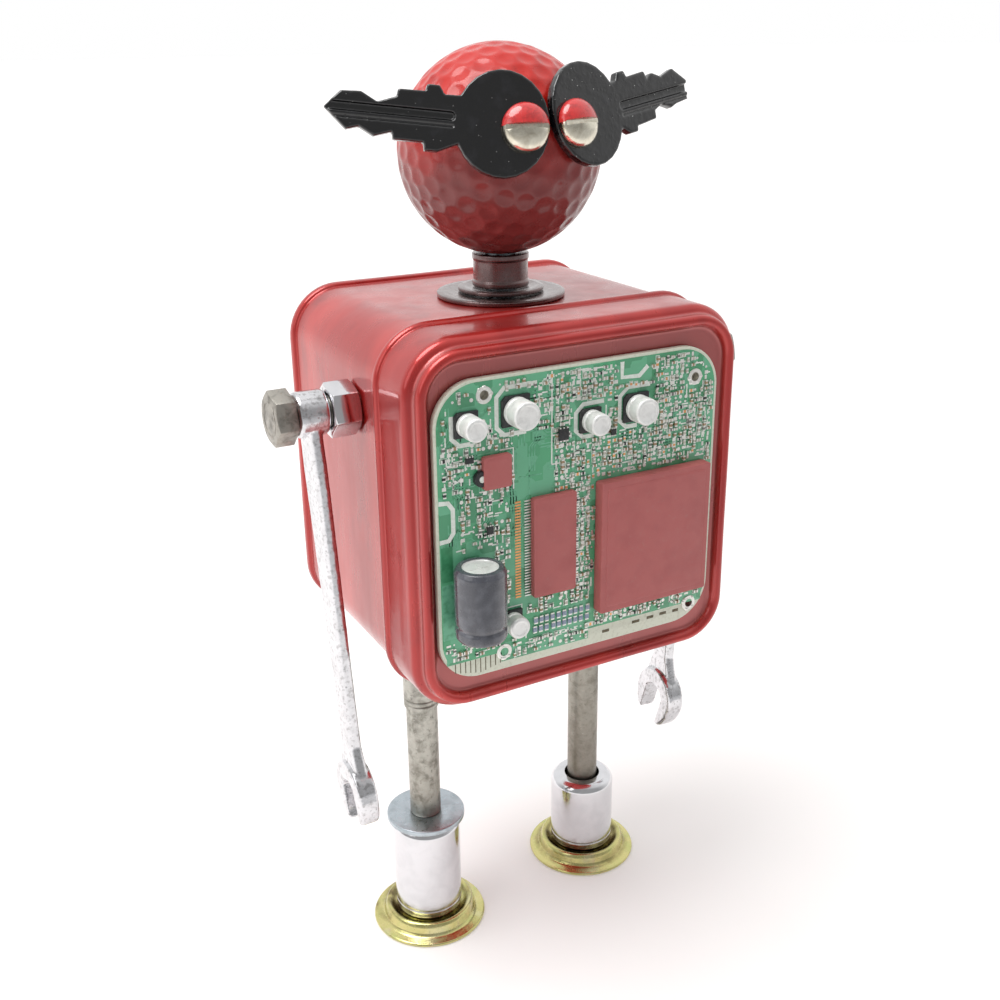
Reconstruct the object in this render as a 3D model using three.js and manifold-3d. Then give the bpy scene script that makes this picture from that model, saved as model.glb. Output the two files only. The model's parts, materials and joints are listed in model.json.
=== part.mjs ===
// A robot figure assembled from found hardware: a golf-ball head, door keys for eyebrows, a slip-lid
// tin for a body, a circuit board for a chest, spanners for arms and sockets for feet.
// Millimetres, +Z up. The figure faces -Y and stands on Z = 0, with the origin under the middle of its box.
import * as THREE from "three";
import { mergeVertices } from "three/addons/utils/BufferGeometryUtils.js";
import Module from "manifold-3d";

const wasm = await Module();
wasm.setup();

// Driving dimensions. Y is counted from the neck axis until the whole figure is moved at the end.
const NECK_SETBACK = 8.35; // from the middle of the figure's box back to the neck axis
const FIT = 0.05; // play between faces that rest on each other

const TIN = {
  halfWidth: 38,
  halfHeight: 38.5,
  centreZ: 115.3,
  corner: 10.8,
  wall: 0.4,
  mouthY: -30.5,
  rearY: 29.3,
  cornerSteps: 5,
};
const TIN_TOP = TIN.centreZ + TIN.halfHeight;
const TIN_BOTTOM = TIN.centreZ - TIN.halfHeight;
const LID = { rearY: -19.2, bandY: -31.5, panelY: -33.6, crestY: -35.6, slip: 0.25, wall: 0.4 };

const BOARD = { centreX: -0.9, centreZ: 115.35, halfWidth: 33, halfHeight: 31.35, corner: 9, thick: 1.5 };
const TAPE_THICK = 0.3;
const BOARD_BACK = LID.panelY - TAPE_THICK - 2 * FIT;
const BOARD_FACE = BOARD_BACK - BOARD.thick;
const BOARD_HOLES = [[-23.1, 143.4], [26.3, 140], [-19.4, 88], [27.4, 87.8]];
const BOARD_HOLE_RADIUS = 1.25;
const CHIPS = {
  chip_large: { x: 15.85, z: 106.9, width: 27.3, height: 29.2, thick: 2.9 },
  chip_medium: { x: -8.1, z: 110, width: 10, height: 21.7, thick: 1.6 },
  chip_small: { x: -21, z: 128, width: 6.1, height: 6.7, thick: 1.6 },
};
const CANS = [
  { x: -27.3, z: 138.4, radius: 2.35, height: 5.3 },
  { x: -16.6, z: 139.5, radius: 2.9, height: 5.4 },
  { x: 0.4, z: 134.9, radius: 2.3, height: 4.9 },
  { x: 11.3, z: 135.9, radius: 2.8, height: 5 },
  { x: -17.9, z: 94.8, radius: 2.3, height: 4.4 },
];
const BULK = { x: -27.3, bottomZ: 96.1, topZ: 110.9, radius: 5.2, sleeve: 0.2 };

const BALL = { radius: 21.335, centreZ: 184.2 };
const HEAD_YAW = THREE.MathUtils.degToRad(-1.6);
const EYE = { azimuth: 14.2, headRadius: 4.65, headHeight: 3.3, shank: 1.8, depth: 11 };
// Each key is lifted about its screw, and its screw hole lies a little below the middle of its bow.
const FACE = {
  left: { side: -1, elevation: 14.4, lift: 6.9, raise: 0.4 },
  right: { side: 1, elevation: 15.2, lift: 8, raise: 1.2 },
};
const KEY = { thick: 2.1, hole: 2.1 };
const NECK = { bolt: 3.1, hole: 3.4, spacer: 6.15, top: 163.05, depth: 13.5 };
const NECK_WASHERS = { large: { radius: 13.9, thick: 1.1 }, small: { radius: 9.3, thick: 1 } };

const SHOULDER = { y: -6.8, z: 136.1, bolt: 3.1, hole: 3.4, flats: 10, nut: 5.9, headIn: 13.5, headOut: 18.1 };
const INNER_WASHER = { thick: 1.2, shoulder: 6.8, neck: 8 };
const ARMS = {
  left: { side: -1, reach: 94, swing: -3.9, handOut: 6.6 },
  right: { side: 1, reach: 98.5, swing: 0.9, handOut: 4.7 },
};
const WRENCH = {
  ringOut: 9.9, // middle of the ring, from the tin's side
  ringRadius: 4.7,
  ringThick: 6.8,
  bore: 3.55,
  handleTop: 3.6,
  handleEnd: 3.1,
  handleThick: 2.8,
  jawRadius: 7.3,
  jawThick: 4.5,
  gap: 6.5,
  turn: 15,
};

const FLOOR_CLEAR = 0.4; // bolt heads stay this far above the surface that the figure stands on
const LEG = { bolt: 2.45, bore: 2.7, top: 84, x: 23.74, flats: 8, nut: 3.9, washer: 5 };
const FEET = {
  left: { side: -1, y: -2.26, tube: 3.7, socketTop: 28.9, washerTop: 30.3 },
  right: { side: 1, y: 1.69, tube: 3.85, socketTop: 23.4 },
};
const SOCKET = { radius: 8.15, bottom: 3.4, drive: 4.7, driveDepth: 9, bore: 5.6, boreDepth: 9 };
const CUP = { radius: 13.9, ridge: 10.4, ridgeTop: 4.2, seat: 8.7, floor: 3.3, hollow: 6, hollowTop: 2.1 };

const MATERIALS = {
  redLacquer: { color: 0x9c1c20, roughness: 0.25, metalness: 0.5 },
  maroonPaint: { color: 0x7c3a3a, roughness: 0.6, metalness: 0 },
  redEnamel: { color: 0xa0201c, roughness: 0.2, metalness: 0 },
  blackEnamel: { color: 0x111111, roughness: 0.25, metalness: 0 },
  nickel: { color: 0xcfcab8, roughness: 0.2, metalness: 1 },
  chrome: { color: 0xd8d9dc, roughness: 0.12, metalness: 1 },
  zinc: { color: 0x9aa4ab, roughness: 0.35, metalness: 1 },
  dullSteel: { color: 0x8a8a82, roughness: 0.5, metalness: 1 },
  gunmetal: { color: 0x352c2c, roughness: 0.35, metalness: 1 },
  brassZinc: { color: 0xb7a94c, roughness: 0.3, metalness: 1 },
  boardGreen: { color: 0x2f6b4a, roughness: 0.45, metalness: 0 },
  tapeWhite: { color: 0xd8d4c8, roughness: 0.9, metalness: 0 },
  blackPlastic: { color: 0x1c1c1e, roughness: 0.4, metalness: 0 },
  aluminium: { color: 0xd4d4d2, roughness: 0.3, metalness: 1 },
};

const robot = new THREE.Group();

function addPiece(name, geometry, finish, parent = robot) {
  const material = new THREE.MeshStandardMaterial(MATERIALS[finish]);
  const mesh = new THREE.Mesh(geometry, material);
  mesh.name = name;
  parent.add(mesh);
  return mesh;
}

// ---- joining and cutting ----

function toManifold(geometry) {
  const bare = geometry.index ? geometry.toNonIndexed() : geometry.clone();
  bare.deleteAttribute("normal");
  bare.deleteAttribute("uv");
  const merged = mergeVertices(bare, 1e-4);
  const vertProperties = merged.attributes.position.array;
  const triVerts = new Uint32Array(merged.index.array);
  return new wasm.Manifold(new wasm.Mesh({ numProp: 3, vertProperties, triVerts }));
}

function toGeometry(manifold) {
  const { vertProperties, triVerts, numProp } = manifold.getMesh();
  const positions = new Float32Array((vertProperties.length / numProp) * 3);
  for (let i = 0; i < positions.length / 3; i++) {
    for (let axis = 0; axis < 3; axis++) {
      positions[3 * i + axis] = vertProperties[numProp * i + axis];
    }
  }
  const geometry = new THREE.BufferGeometry();
  geometry.setAttribute("position", new THREE.BufferAttribute(positions, 3));
  geometry.setIndex(Array.from(triVerts));
  geometry.computeVertexNormals();
  return geometry;
}

function cut(body, ...tools) {
  return toGeometry(tools.reduce((left, tool) => left.subtract(toManifold(tool)), toManifold(body)));
}

function join(...bodies) {
  const [first, ...rest] = bodies.map(toManifold);
  return toGeometry(rest.reduce((whole, body) => whole.add(body), first));
}

function common(body, tool) {
  return toGeometry(toManifold(body).intersect(toManifold(tool)));
}

// ---- basic shapes, each with its axis along +Z ----

// A profile of [radius, height] points, up the outside first, turned about Z.
function lathe(profile, steps = 24) {
  const points = profile.map(([radius, height]) => new THREE.Vector2(radius, height));
  return new THREE.LatheGeometry(points, steps).rotateX(Math.PI / 2);
}

function rod(radius, bottom, top, steps = 16) {
  return lathe([[0, bottom], [radius, bottom], [radius, top], [0, top]], steps);
}

function ring(outer, inner, bottom, top, steps = 24) {
  return lathe([[inner, bottom], [outer, bottom], [outer, top], [inner, top], [inner, bottom]], steps);
}

function roundedRectangle(halfWidth, halfHeight, corner) {
  const shape = new THREE.Shape();
  shape.moveTo(halfWidth, -halfHeight + corner);
  shape.absarc(halfWidth - corner, halfHeight - corner, corner, 0, Math.PI / 2);
  shape.absarc(-halfWidth + corner, halfHeight - corner, corner, Math.PI / 2, Math.PI);
  shape.absarc(-halfWidth + corner, -halfHeight + corner, corner, Math.PI, 1.5 * Math.PI);
  shape.absarc(halfWidth - corner, -halfHeight + corner, corner, 1.5 * Math.PI, 2 * Math.PI);
  return shape;
}

function extrude(shape, bottom, top, curveSegments = 6) {
  const options = { depth: top - bottom, bevelEnabled: false, curveSegments };
  return new THREE.ExtrudeGeometry(shape, options).translate(0, 0, bottom);
}

// A block whose edges are eased by a small bevel on both faces.
function easedBlock(shape, bottom, top, ease, curveSegments = 6) {
  const options = {
    depth: top - bottom - 2 * ease,
    bevelEnabled: true,
    bevelThickness: ease,
    bevelSize: ease,
    bevelOffset: -ease,
    bevelSegments: 1,
    curveSegments,
  };
  return new THREE.ExtrudeGeometry(shape, options).translate(0, 0, bottom + ease);
}

// A hexagon across its flats, with its corners chamfered at the ends that are named.
function hexagon(flats, bottom, top, { chamferTop = true, chamferBottom = true, bore = 0 } = {}) {
  const corner = flats / Math.sqrt(3);
  const shape = new THREE.Shape();
  for (let i = 0; i < 6; i++) {
    const angle = (i * Math.PI) / 3;
    const step = i === 0 ? "moveTo" : "lineTo";
    shape[step](corner * Math.cos(angle), corner * Math.sin(angle));
  }
  if (!chamferTop && !chamferBottom) {
    return bore ? cut(extrude(shape, bottom, top), rod(bore, bottom - 1, top + 1)) : extrude(shape, bottom, top);
  }
  const rise = 0.6 * (corner - flats / 2);
  const wide = corner + 0.1;
  const face = 0.97 * (flats / 2);
  const envelope = lathe(
    [
      [0, bottom],
      [chamferBottom ? face : wide, bottom],
      [wide, bottom + rise],
      [wide, top - rise],
      [chamferTop ? face : wide, top],
      [0, top],
    ],
    24,
  );
  const block = common(extrude(shape, bottom, top), envelope);
  return bore ? cut(block, rod(bore, bottom - 1, top + 1)) : block;
}

// ---- the tin: closed skins swept round a rounded square that faces along Y ----

function tinRing(offset, y) {
  const corner = Math.max(TIN.corner + offset, 0.5);
  const reachX = TIN.halfWidth + offset - corner;
  const reachZ = TIN.halfHeight + offset - corner;
  const quadrants = [[1, 1], [-1, 1], [-1, -1], [1, -1]];
  const points = [];
  quadrants.forEach(([signX, signZ], quadrant) => {
    for (let i = 0; i <= TIN.cornerSteps; i++) {
      const angle = (quadrant + i / TIN.cornerSteps) * (Math.PI / 2);
      const x = signX * reachX + corner * Math.cos(angle);
      const z = TIN.centreZ + signZ * reachZ + corner * Math.sin(angle);
      points.push(new THREE.Vector3(x, y, z));
    }
  });
  return points;
}

// Joins rings of [offset, y] into one skin. A closed sweep meets its first ring again, and an open
// one is capped flat at both ends.
function tinSweep(profile, closed) {
  const rings = profile.map(([offset, y]) => tinRing(offset, y));
  const count = rings[0].length;
  const points = rings.flat();
  const index = [];
  const bands = closed ? rings.length : rings.length - 1;
  for (let band = 0; band < bands; band++) {
    const here = band * count;
    const there = ((band + 1) % rings.length) * count;
    for (let i = 0; i < count; i++) {
      const next = (i + 1) % count;
      index.push(here + i, there + i, there + next);
      index.push(here + i, there + next, here + next);
    }
  }
  if (!closed) {
    const last = (rings.length - 1) * count;
    for (let i = 1; i < count - 1; i++) {
      index.push(0, i, i + 1);
      index.push(last, last + i + 1, last + i);
    }
  }
  const geometry = new THREE.BufferGeometry().setFromPoints(points);
  geometry.setIndex(index);
  geometry.computeVertexNormals();
  return geometry;
}

// A rod along X, Y or Z through a point, for holes.
function drill(radius, from, to) {
  const start = new THREE.Vector3(...from);
  const along = new THREE.Vector3(...to).sub(start);
  const turn = new THREE.Quaternion().setFromUnitVectors(new THREE.Vector3(0, 0, 1), along.clone().normalize());
  return rod(radius, 0, along.length()).applyQuaternion(turn).translate(...start.toArray());
}

function makeTinBody() {
  const inner = -TIN.wall;
  const bead = 0.85;
  const sleeve = tinSweep(
    [
      [0, TIN.mouthY],
      [0, TIN.rearY - 2.4],
      [bead * 0.7, TIN.rearY - 2.2],
      [bead, TIN.rearY - 1.7],
      [bead, TIN.rearY - 0.6],
      [bead * 0.6, TIN.rearY - 0.1],
      [0.1, TIN.rearY],
      [inner, TIN.rearY],
      [inner, TIN.mouthY],
    ],
    true,
  );
  const reach = TIN.halfWidth + 2;
  const holes = [drill(NECK.hole, [0, 0, TIN_TOP - 3], [0, 0, TIN_TOP + 3])];
  for (const { side } of Object.values(ARMS)) {
    const outside = [side * reach, SHOULDER.y, SHOULDER.z];
    const inside = [side * (reach - 6), SHOULDER.y, SHOULDER.z];
    holes.push(drill(SHOULDER.hole, inside, outside));
  }
  for (const { side, y } of Object.values(FEET)) {
    holes.push(drill(LEG.bore, [side * LEG.x, y, TIN_BOTTOM - 3], [side * LEG.x, y, TIN_BOTTOM + 3]));
  }
  addPiece("tin_body", cut(sleeve, ...holes), "redLacquer");

  const rim = -TIN.wall - FIT;
  const panelY = TIN.rearY - 1.3;
  const back = tinSweep(
    [
      [-20, panelY - TIN.wall],
      [rim, panelY - TIN.wall],
      [rim, TIN.rearY - 0.1],
      [rim - TIN.wall, TIN.rearY - 0.1],
      [rim - 2 * TIN.wall, panelY],
      [-20, panelY],
    ],
    false,
  );
  addPiece("tin_back", back, "redLacquer");
}

function makeTinLid() {
  const { rearY, bandY, panelY, crestY, slip, wall } = LID;
  const band = slip + wall;
  const skin = [
    // inside, from the middle of the panel out to the mouth
    [-20, panelY + wall],
    [-3.5, panelY + wall],
    [-3.1, crestY + 1],
    [-2.2, crestY + wall],
    [-1.6, crestY + 1.2],
    [-1.6, panelY + wall],
    [-0.5, bandY - 0.9],
    [slip, bandY + 0.2],
    [slip, rearY],
    // round the curled edge
    [slip + 0.75, rearY],
    [slip + 1.12, rearY - 0.5],
    [slip + 1.12, rearY - 1.5],
    [slip + 0.75, rearY - 2],
    // outside, back to the panel
    [band, rearY - 2.2],
    [band, bandY],
    [band - 0.25, bandY - 0.9],
    [-0.3, bandY - 1.5],
    [-1.15, panelY],
    [-1.15, crestY + 1],
    [-1.5, crestY + 0.3],
    [-2.2, crestY],
    [-2.9, crestY + 0.2],
    [-3.5, crestY + 1],
    [-3.9, panelY],
    [-20, panelY],
  ];
  return addPiece("tin_lid", tinSweep(skin.reverse(), false), "redLacquer");
}

// ---- the chest: everything here rides on the lid, with its face towards -Y ----

// Turns a shape built on the XY plane, thick along +Z, to stand on a plane of constant Y, facing -Y.
function faceForward(geometry, x, backY, z) {
  return geometry.rotateX(Math.PI / 2).translate(x, backY, z);
}

function makeBoard() {
  const { centreX, centreZ, halfWidth, halfHeight, corner, thick } = BOARD;
  const tape = extrude(roundedRectangle(halfWidth - 3, halfHeight - 3, corner - 3), 0, TAPE_THICK);
  addPiece("board_tape", faceForward(tape, centreX, LID.panelY - FIT, centreZ), "tapeWhite");

  const outline = roundedRectangle(halfWidth, halfHeight, corner);
  for (const [x, z] of BOARD_HOLES) {
    const hole = new THREE.Path();
    hole.absarc(x - centreX, z - centreZ, BOARD_HOLE_RADIUS, 0, 2 * Math.PI, true);
    outline.holes.push(hole);
  }
  const board = extrude(outline, 0, thick, 6);
  addPiece("circuit_board", faceForward(board, centreX, BOARD_BACK, centreZ), "boardGreen");
}

function makeChip(name, { x, z, width, height, thick }) {
  const block = easedBlock(roundedRectangle(width / 2, height / 2, 0.5), 0, thick, 0.2, 1);
  addPiece(name, faceForward(block, x, BOARD_FACE - FIT, z), "maroonPaint");
}

function makeCanCapacitor({ x, z, radius, height }, number) {
  const half = radius + 0.15;
  const clip = 0.3 * radius;
  const outline = new THREE.Shape();
  outline.moveTo(-half, -half);
  outline.lineTo(half, -half);
  outline.lineTo(half, half);
  outline.lineTo(-half + clip, half);
  outline.lineTo(-half, half - clip);
  const baseThick = 0.9;
  const backY = BOARD_FACE - FIT;
  const base = extrude(outline, 0, baseThick);
  addPiece(`capacitor_base_${number}`, faceForward(base, x, backY, z), "blackPlastic");
  const can = lathe(
    [
      [0, 0],
      [radius, 0],
      [radius, 0.9],
      [0.93 * radius, 1.15],
      [radius, 1.4],
      [radius, height - baseThick - 0.4],
      [0.88 * radius, height - baseThick],
      [0, height - baseThick],
    ],
    20,
  );
  const canY = backY - baseThick - FIT;
  addPiece(`capacitor_can_${number}`, faceForward(can, x, canY, z), "aluminium");
}

function makeBulkCapacitor() {
  const { x, bottomZ, topZ, radius, sleeve } = BULK;
  const canRadius = radius - sleeve - FIT;
  const y = BOARD_FACE - radius - 2 * FIT;
  const height = topZ - bottomZ;
  const can = lathe([
    [0, 0],
    [0.86 * canRadius, 0],
    [canRadius, 0.6],
    [canRadius, 1.8],
    [0.92 * canRadius, 2.4],
    [canRadius, 3],
    [canRadius, height - 0.6],
    [0.86 * canRadius, height],
    [0, height],
  ], 20);
  addPiece("bulk_capacitor_can", can.translate(x, y, bottomZ), "aluminium");
  const skin = radius - sleeve;
  const lip = 0.8 * radius;
  const jacket = lathe([
    [lip, -0.25],
    [0.9 * radius, -0.25],
    [radius, 0.5],
    [radius, height - 0.5],
    [0.9 * radius, height + 0.25],
    [lip, height + 0.25],
    [lip, height + FIT],
    [0.88 * radius, height + FIT],
    [skin, height - 0.5],
    [skin, 0.5],
    [0.88 * radius, -FIT],
    [lip, -FIT],
    [lip, -0.25],
  ], 20);
  addPiece("bulk_capacitor_sleeve", jacket.translate(x, y, bottomZ), "blackPlastic");
}

// ---- the neck ----

function makeNeck() {
  let z = TIN_TOP + FIT;
  for (const [size, { radius, thick }] of Object.entries(NECK_WASHERS)) {
    addPiece(`neck_washer_${size}`, ring(radius, NECK.hole, z, z + thick, 32), "gunmetal");
    z += thick + FIT;
  }
  const ease = 0.4;
  const spacer = lathe([
    [NECK.hole, z],
    [NECK.spacer - ease, z],
    [NECK.spacer, z + ease],
    [NECK.spacer, NECK.top - ease],
    [NECK.spacer - ease, NECK.top],
    [NECK.hole, NECK.top],
    [NECK.hole, z],
  ]);
  addPiece("neck_spacer", spacer, "gunmetal");

  const ceiling = TIN_TOP - TIN.wall - FIT;
  const seat = ceiling - INNER_WASHER.thick;
  addPiece("neck_inner_washer", ring(INNER_WASHER.neck, NECK.hole, seat, ceiling), "zinc");
  const headTop = seat - FIT;
  const head = hexagon(SHOULDER.flats, headTop - 4, headTop, { chamferTop: false });
  const tip = BALL.centreZ - BALL.radius + NECK.depth;
  addPiece("neck_bolt", join(head, rod(NECK.bolt, headTop - 1, tip)), "zinc");
}

// ---- the head: built round the middle of the ball ----

// The direction in which an eye looks, with its key's outward and upward directions across the ball.
function eyeFrame({ side, elevation: degrees }) {
  const azimuth = THREE.MathUtils.degToRad(side * EYE.azimuth);
  const elevation = THREE.MathUtils.degToRad(degrees);
  const look = new THREE.Vector3(
    Math.sin(azimuth) * Math.cos(elevation),
    -Math.cos(azimuth) * Math.cos(elevation),
    Math.sin(elevation),
  );
  const level = new THREE.Vector3(Math.cos(azimuth), Math.sin(azimuth), 0).multiplyScalar(side);
  return { look, level };
}

// A group whose +Z looks along the eye and whose +X runs outwards, raised by the given angle.
function eyeGroup(parent, eye, lift) {
  const { look, level } = eyeFrame(eye);
  const along = level.clone().applyAxisAngle(look, eye.side * THREE.MathUtils.degToRad(lift));
  const across = look.clone().cross(along);
  const group = new THREE.Group();
  const basis = new THREE.Matrix4().makeBasis(along, across, look);
  group.quaternion.setFromRotationMatrix(basis);
  parent.add(group);
  return group;
}

// Both keys share a round bow with a screw hole near its inner edge. [along, across] points are
// counted outwards and upwards from that hole.
const LEFT_BLADE = {
  upper: [[15.6, 4.4], [16.6, 6], [19, 6], [19.2, 4.7], [24.4, 4.6], [24.6, 3.2], [28.2, 1.9], [31.2, 3.5], [35, 3.3]],
  tip: [38, 0.2],
  lower: [[33.8, -3.6], [31.4, -2.9], [28.6, -4.4], [25.2, -3.3], [25, -4.7], [19.2, -4.7], [19, -6.2], [16.6, -6.2]],
};
const RIGHT_BLADE = {
  upper: [[14, 4.6], [15, 6.2], [17, 6.2], [17.4, 4.9], [22.8, 5.1], [23.2, 3.4], [25, 4.4], [27.6, 3.2], [31.4, 4.2]],
  tip: [35, 1.2],
  lower: [[34.2, -2.6], [30.4, -2.9], [28.6, -3.4], [26, -2.2], [23.4, -3], [23.2, -4.6], [17.2, -5], [17, -6], [14.6, -6]],
};
const BOW = { centre: 4.3, halfLength: 9.3, halfHeight: 10.1 };

function keyOutline({ upper, tip, lower }, { side, raise }) {
  const { centre, halfLength, halfHeight } = BOW;
  // The bow runs from the blade's lower side round its inner end to the upper side.
  const open = 0.46;
  const steps = 22;
  const outline = [...upper, tip, ...lower];
  for (let i = 0; i <= steps; i++) {
    const angle = -open - ((2 * Math.PI - 2 * open) * i) / steps;
    outline.push([centre + halfLength * Math.cos(angle), halfHeight * Math.sin(angle)]);
  }
  // Across points up on the right key and down on the left one, so the left outline is turned over.
  const points = outline.map(([along, across]) => new THREE.Vector2(along, side * (across + raise)));
  return new THREE.Shape(side > 0 ? points.reverse() : points);
}

function makeKey(name, blade, eye, head) {
  const shape = keyOutline(blade, eye);
  const hole = new THREE.Path();
  hole.absarc(0, 0, KEY.hole, 0, 2 * Math.PI, true);
  shape.holes.push(hole);
  const bottom = BALL.radius + 2 * FIT;
  const group = eyeGroup(head, eye, eye.lift);
  addPiece(name, easedBlock(shape, bottom, bottom + KEY.thick, 0.25, 6), "blackEnamel", group);
}

function eyeScrewGeometry() {
  const seat = BALL.radius + KEY.thick + 4 * FIT;
  const { headRadius, headHeight, shank, depth } = EYE;
  const profile = [[0, BALL.radius - depth], [shank, BALL.radius - depth + 1.5], [shank, seat], [headRadius, seat]];
  const steps = 7;
  const rim = 0.7;
  for (let i = 0; i < steps; i++) {
    const angle = (i / steps) * (Math.PI / 2);
    profile.push([headRadius * Math.cos(angle), seat + rim + (headHeight - rim) * Math.sin(angle)]);
  }
  profile.push([0, seat + headHeight]);
  const slotHalf = 0.55;
  const slotDepth = 1.4;
  const slot = new THREE.BoxGeometry(2 * headRadius + 2, 2 * slotHalf, 2 * slotDepth);
  return cut(lathe(profile, 24), slot.translate(0, 0, seat + headHeight));
}

function makeHead() {
  const head = new THREE.Group();
  head.position.z = BALL.centreZ;
  head.rotation.z = HEAD_YAW;
  robot.add(head);

  const bores = [rod(NECK.hole, -BALL.radius - 2, -BALL.radius + NECK.depth + 0.5)];
  for (const eye of Object.values(FACE)) {
    const { look } = eyeFrame(eye);
    const floor = look.clone().multiplyScalar(BALL.radius - EYE.depth - 0.5);
    const mouth = look.clone().multiplyScalar(BALL.radius + 1);
    bores.push(drill(EYE.shank + 0.3, floor.toArray(), mouth.toArray()));
  }
  const ball = new THREE.SphereGeometry(BALL.radius, 36, 22).rotateX(Math.PI / 2);
  addPiece("head_ball", cut(ball, ...bores), "redEnamel", head);

  makeKey("key_left", LEFT_BLADE, FACE.left, head);
  makeKey("key_right", RIGHT_BLADE, FACE.right, head);
  for (const [name, eye] of Object.entries(FACE)) {
    addPiece(`eye_screw_${name}`, eyeScrewGeometry(), "nickel", eyeGroup(head, eye, 0));
  }
}

// ---- shoulders and arms ----

function makeShoulder(name, side) {
  const group = new THREE.Group();
  group.position.set(side * TIN.halfWidth, SHOULDER.y, SHOULDER.z);
  group.rotation.set(0, (side * Math.PI) / 2, 0);
  robot.add(group);
  const { bolt, hole, flats, nut, headIn, headOut } = SHOULDER;
  // One corner of each hexagon points a little above forwards.
  const turnCorner = (geometry) => geometry.rotateZ(Math.PI / 2 + side * THREE.MathUtils.degToRad(15));

  const innerFace = -TIN.wall - FIT;
  const washerIn = innerFace - INNER_WASHER.thick;
  const innerNutTop = washerIn - FIT;
  const shankEnd = innerNutTop - nut - 1.5;
  const head = turnCorner(hexagon(flats, headIn, headOut, { chamferBottom: false }));
  addPiece(`shoulder_bolt_${name}`, join(head, rod(bolt, shankEnd, headIn + 1)), "dullSteel", group);
  const outerNut = turnCorner(hexagon(flats, FIT + 0.25, FIT + 0.25 + nut, { bore: hole }));
  addPiece(`shoulder_nut_${name}`, outerNut, "chrome", group);
  const washer = ring(INNER_WASHER.shoulder, hole, washerIn, innerFace);
  addPiece(`shoulder_inner_washer_${name}`, washer, "zinc", group);
  const innerShape = { bore: hole, chamferTop: false, chamferBottom: false };
  const innerNut = turnCorner(hexagon(flats, innerNutTop - nut, innerNutTop, innerShape));
  addPiece(`shoulder_inner_nut_${name}`, innerNut, "zinc", group);
}

// A combination spanner that hangs from the middle of its ring, with its ring's axis along X and its
// outer face towards -X. Its handle leans inwards (+X) on the way down to the jaws.
function wrenchGeometry(reach, handOut) {
  const { ringOut, ringRadius, ringThick, bore, handleTop, handleEnd } = WRENCH;
  const { handleThick, jawRadius, jawThick, gap, turn } = WRENCH;
  // Flat outlines are drawn with X forwards (-Y of the figure) and Y along the handle, downwards.
  const jawCentre = reach - jawRadius;
  const neck = 3 * jawRadius;
  const bar = new THREE.Shape();
  bar.moveTo(-handleTop, 0);
  bar.lineTo(handleTop, 0);
  bar.lineTo(handleTop + 0.5, ringRadius + 8);
  bar.lineTo(handleEnd, jawCentre - neck);
  bar.lineTo(handleEnd, jawCentre - 1.6 * jawRadius);
  bar.lineTo(0.8 * jawRadius, jawCentre - 0.4 * jawRadius);
  bar.lineTo(-0.8 * jawRadius, jawCentre - 0.4 * jawRadius);
  bar.lineTo(-handleEnd, jawCentre - 1.6 * jawRadius);
  bar.lineTo(-handleEnd, jawCentre - neck);
  bar.lineTo(-handleTop - 0.5, ringRadius + 8);
  const handle = easedBlock(bar, -handleThick / 2, handleThick / 2, 0.7);

  // The jaws are round behind and taper in two rounded flanks to the mouth.
  const flank = [[0.97, 0.3], [0.88, 0.58], [0.76, 0.82], [0.62, 0.97], [0.5, 1]];
  const jawPoints = flank.map(([x, y]) => [x * jawRadius, y * jawRadius]);
  jawPoints.push(...jawPoints.map(([x, y]) => [-x, y]).reverse());
  const backSteps = 20;
  for (let i = 0; i <= backSteps; i++) {
    const angle = Math.PI + (i / backSteps) * Math.PI;
    jawPoints.push([jawRadius * Math.cos(angle), jawRadius * Math.sin(angle)]);
  }
  const jawOutline = new THREE.Shape(jawPoints.map(([x, y]) => new THREE.Vector2(x, y)));
  const jaws = easedBlock(jawOutline, -jawThick / 2, jawThick / 2, 0.5);
  jaws.rotateZ(THREE.MathUtils.degToRad(-turn)).translate(0, jawCentre, 0);

  const floorEase = 1.6;
  const gapShape = new THREE.Shape();
  gapShape.moveTo(gap / 2, 2 * jawRadius);
  gapShape.lineTo(-gap / 2, 2 * jawRadius);
  gapShape.lineTo(-gap / 2, floorEase - 2.6);
  gapShape.lineTo(-gap / 2 + floorEase, -2.6);
  gapShape.lineTo(gap / 2 - floorEase, -2.6);
  gapShape.lineTo(gap / 2, floorEase - 2.6);
  const gapCut = extrude(gapShape, -jawThick, jawThick);
  gapCut.rotateZ(THREE.MathUtils.degToRad(-turn)).translate(0, jawCentre, 0);
  const lean = Math.atan2(ringOut - handOut, reach);
  // Drawn X goes to -Y, drawn Y goes to -Z, and the thickness goes to X.
  const stand = new THREE.Matrix4().makeBasis(
    new THREE.Vector3(0, -1, 0),
    new THREE.Vector3(0, 0, -1),
    new THREE.Vector3(1, 0, 0),
  );
  const blade = cut(join(handle, jaws), gapCut).applyMatrix4(stand).rotateY(-lean);

  const collar = lathe(
    [
      [0, -ringThick / 2],
      [ringRadius - 0.6, -ringThick / 2],
      [ringRadius, -ringThick / 2 + 0.6],
      [ringRadius, ringThick / 2 - 0.6],
      [ringRadius - 0.6, ringThick / 2],
      [0, ringThick / 2],
    ],
    28,
  ).rotateY(Math.PI / 2);
  // The box end holds a nut on twelve points: two hexagons, a twelfth of a turn apart.
  const points = new THREE.Shape();
  for (let i = 0; i < 24; i++) {
    const angle = (i * Math.PI) / 12;
    const radius = i % 2 ? bore : bore + 0.35;
    points[i === 0 ? "moveTo" : "lineTo"](radius * Math.cos(angle), radius * Math.sin(angle));
  }
  const star = extrude(points, -ringThick, ringThick).rotateY(Math.PI / 2);
  return cut(join(blade, collar), star);
}

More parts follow.
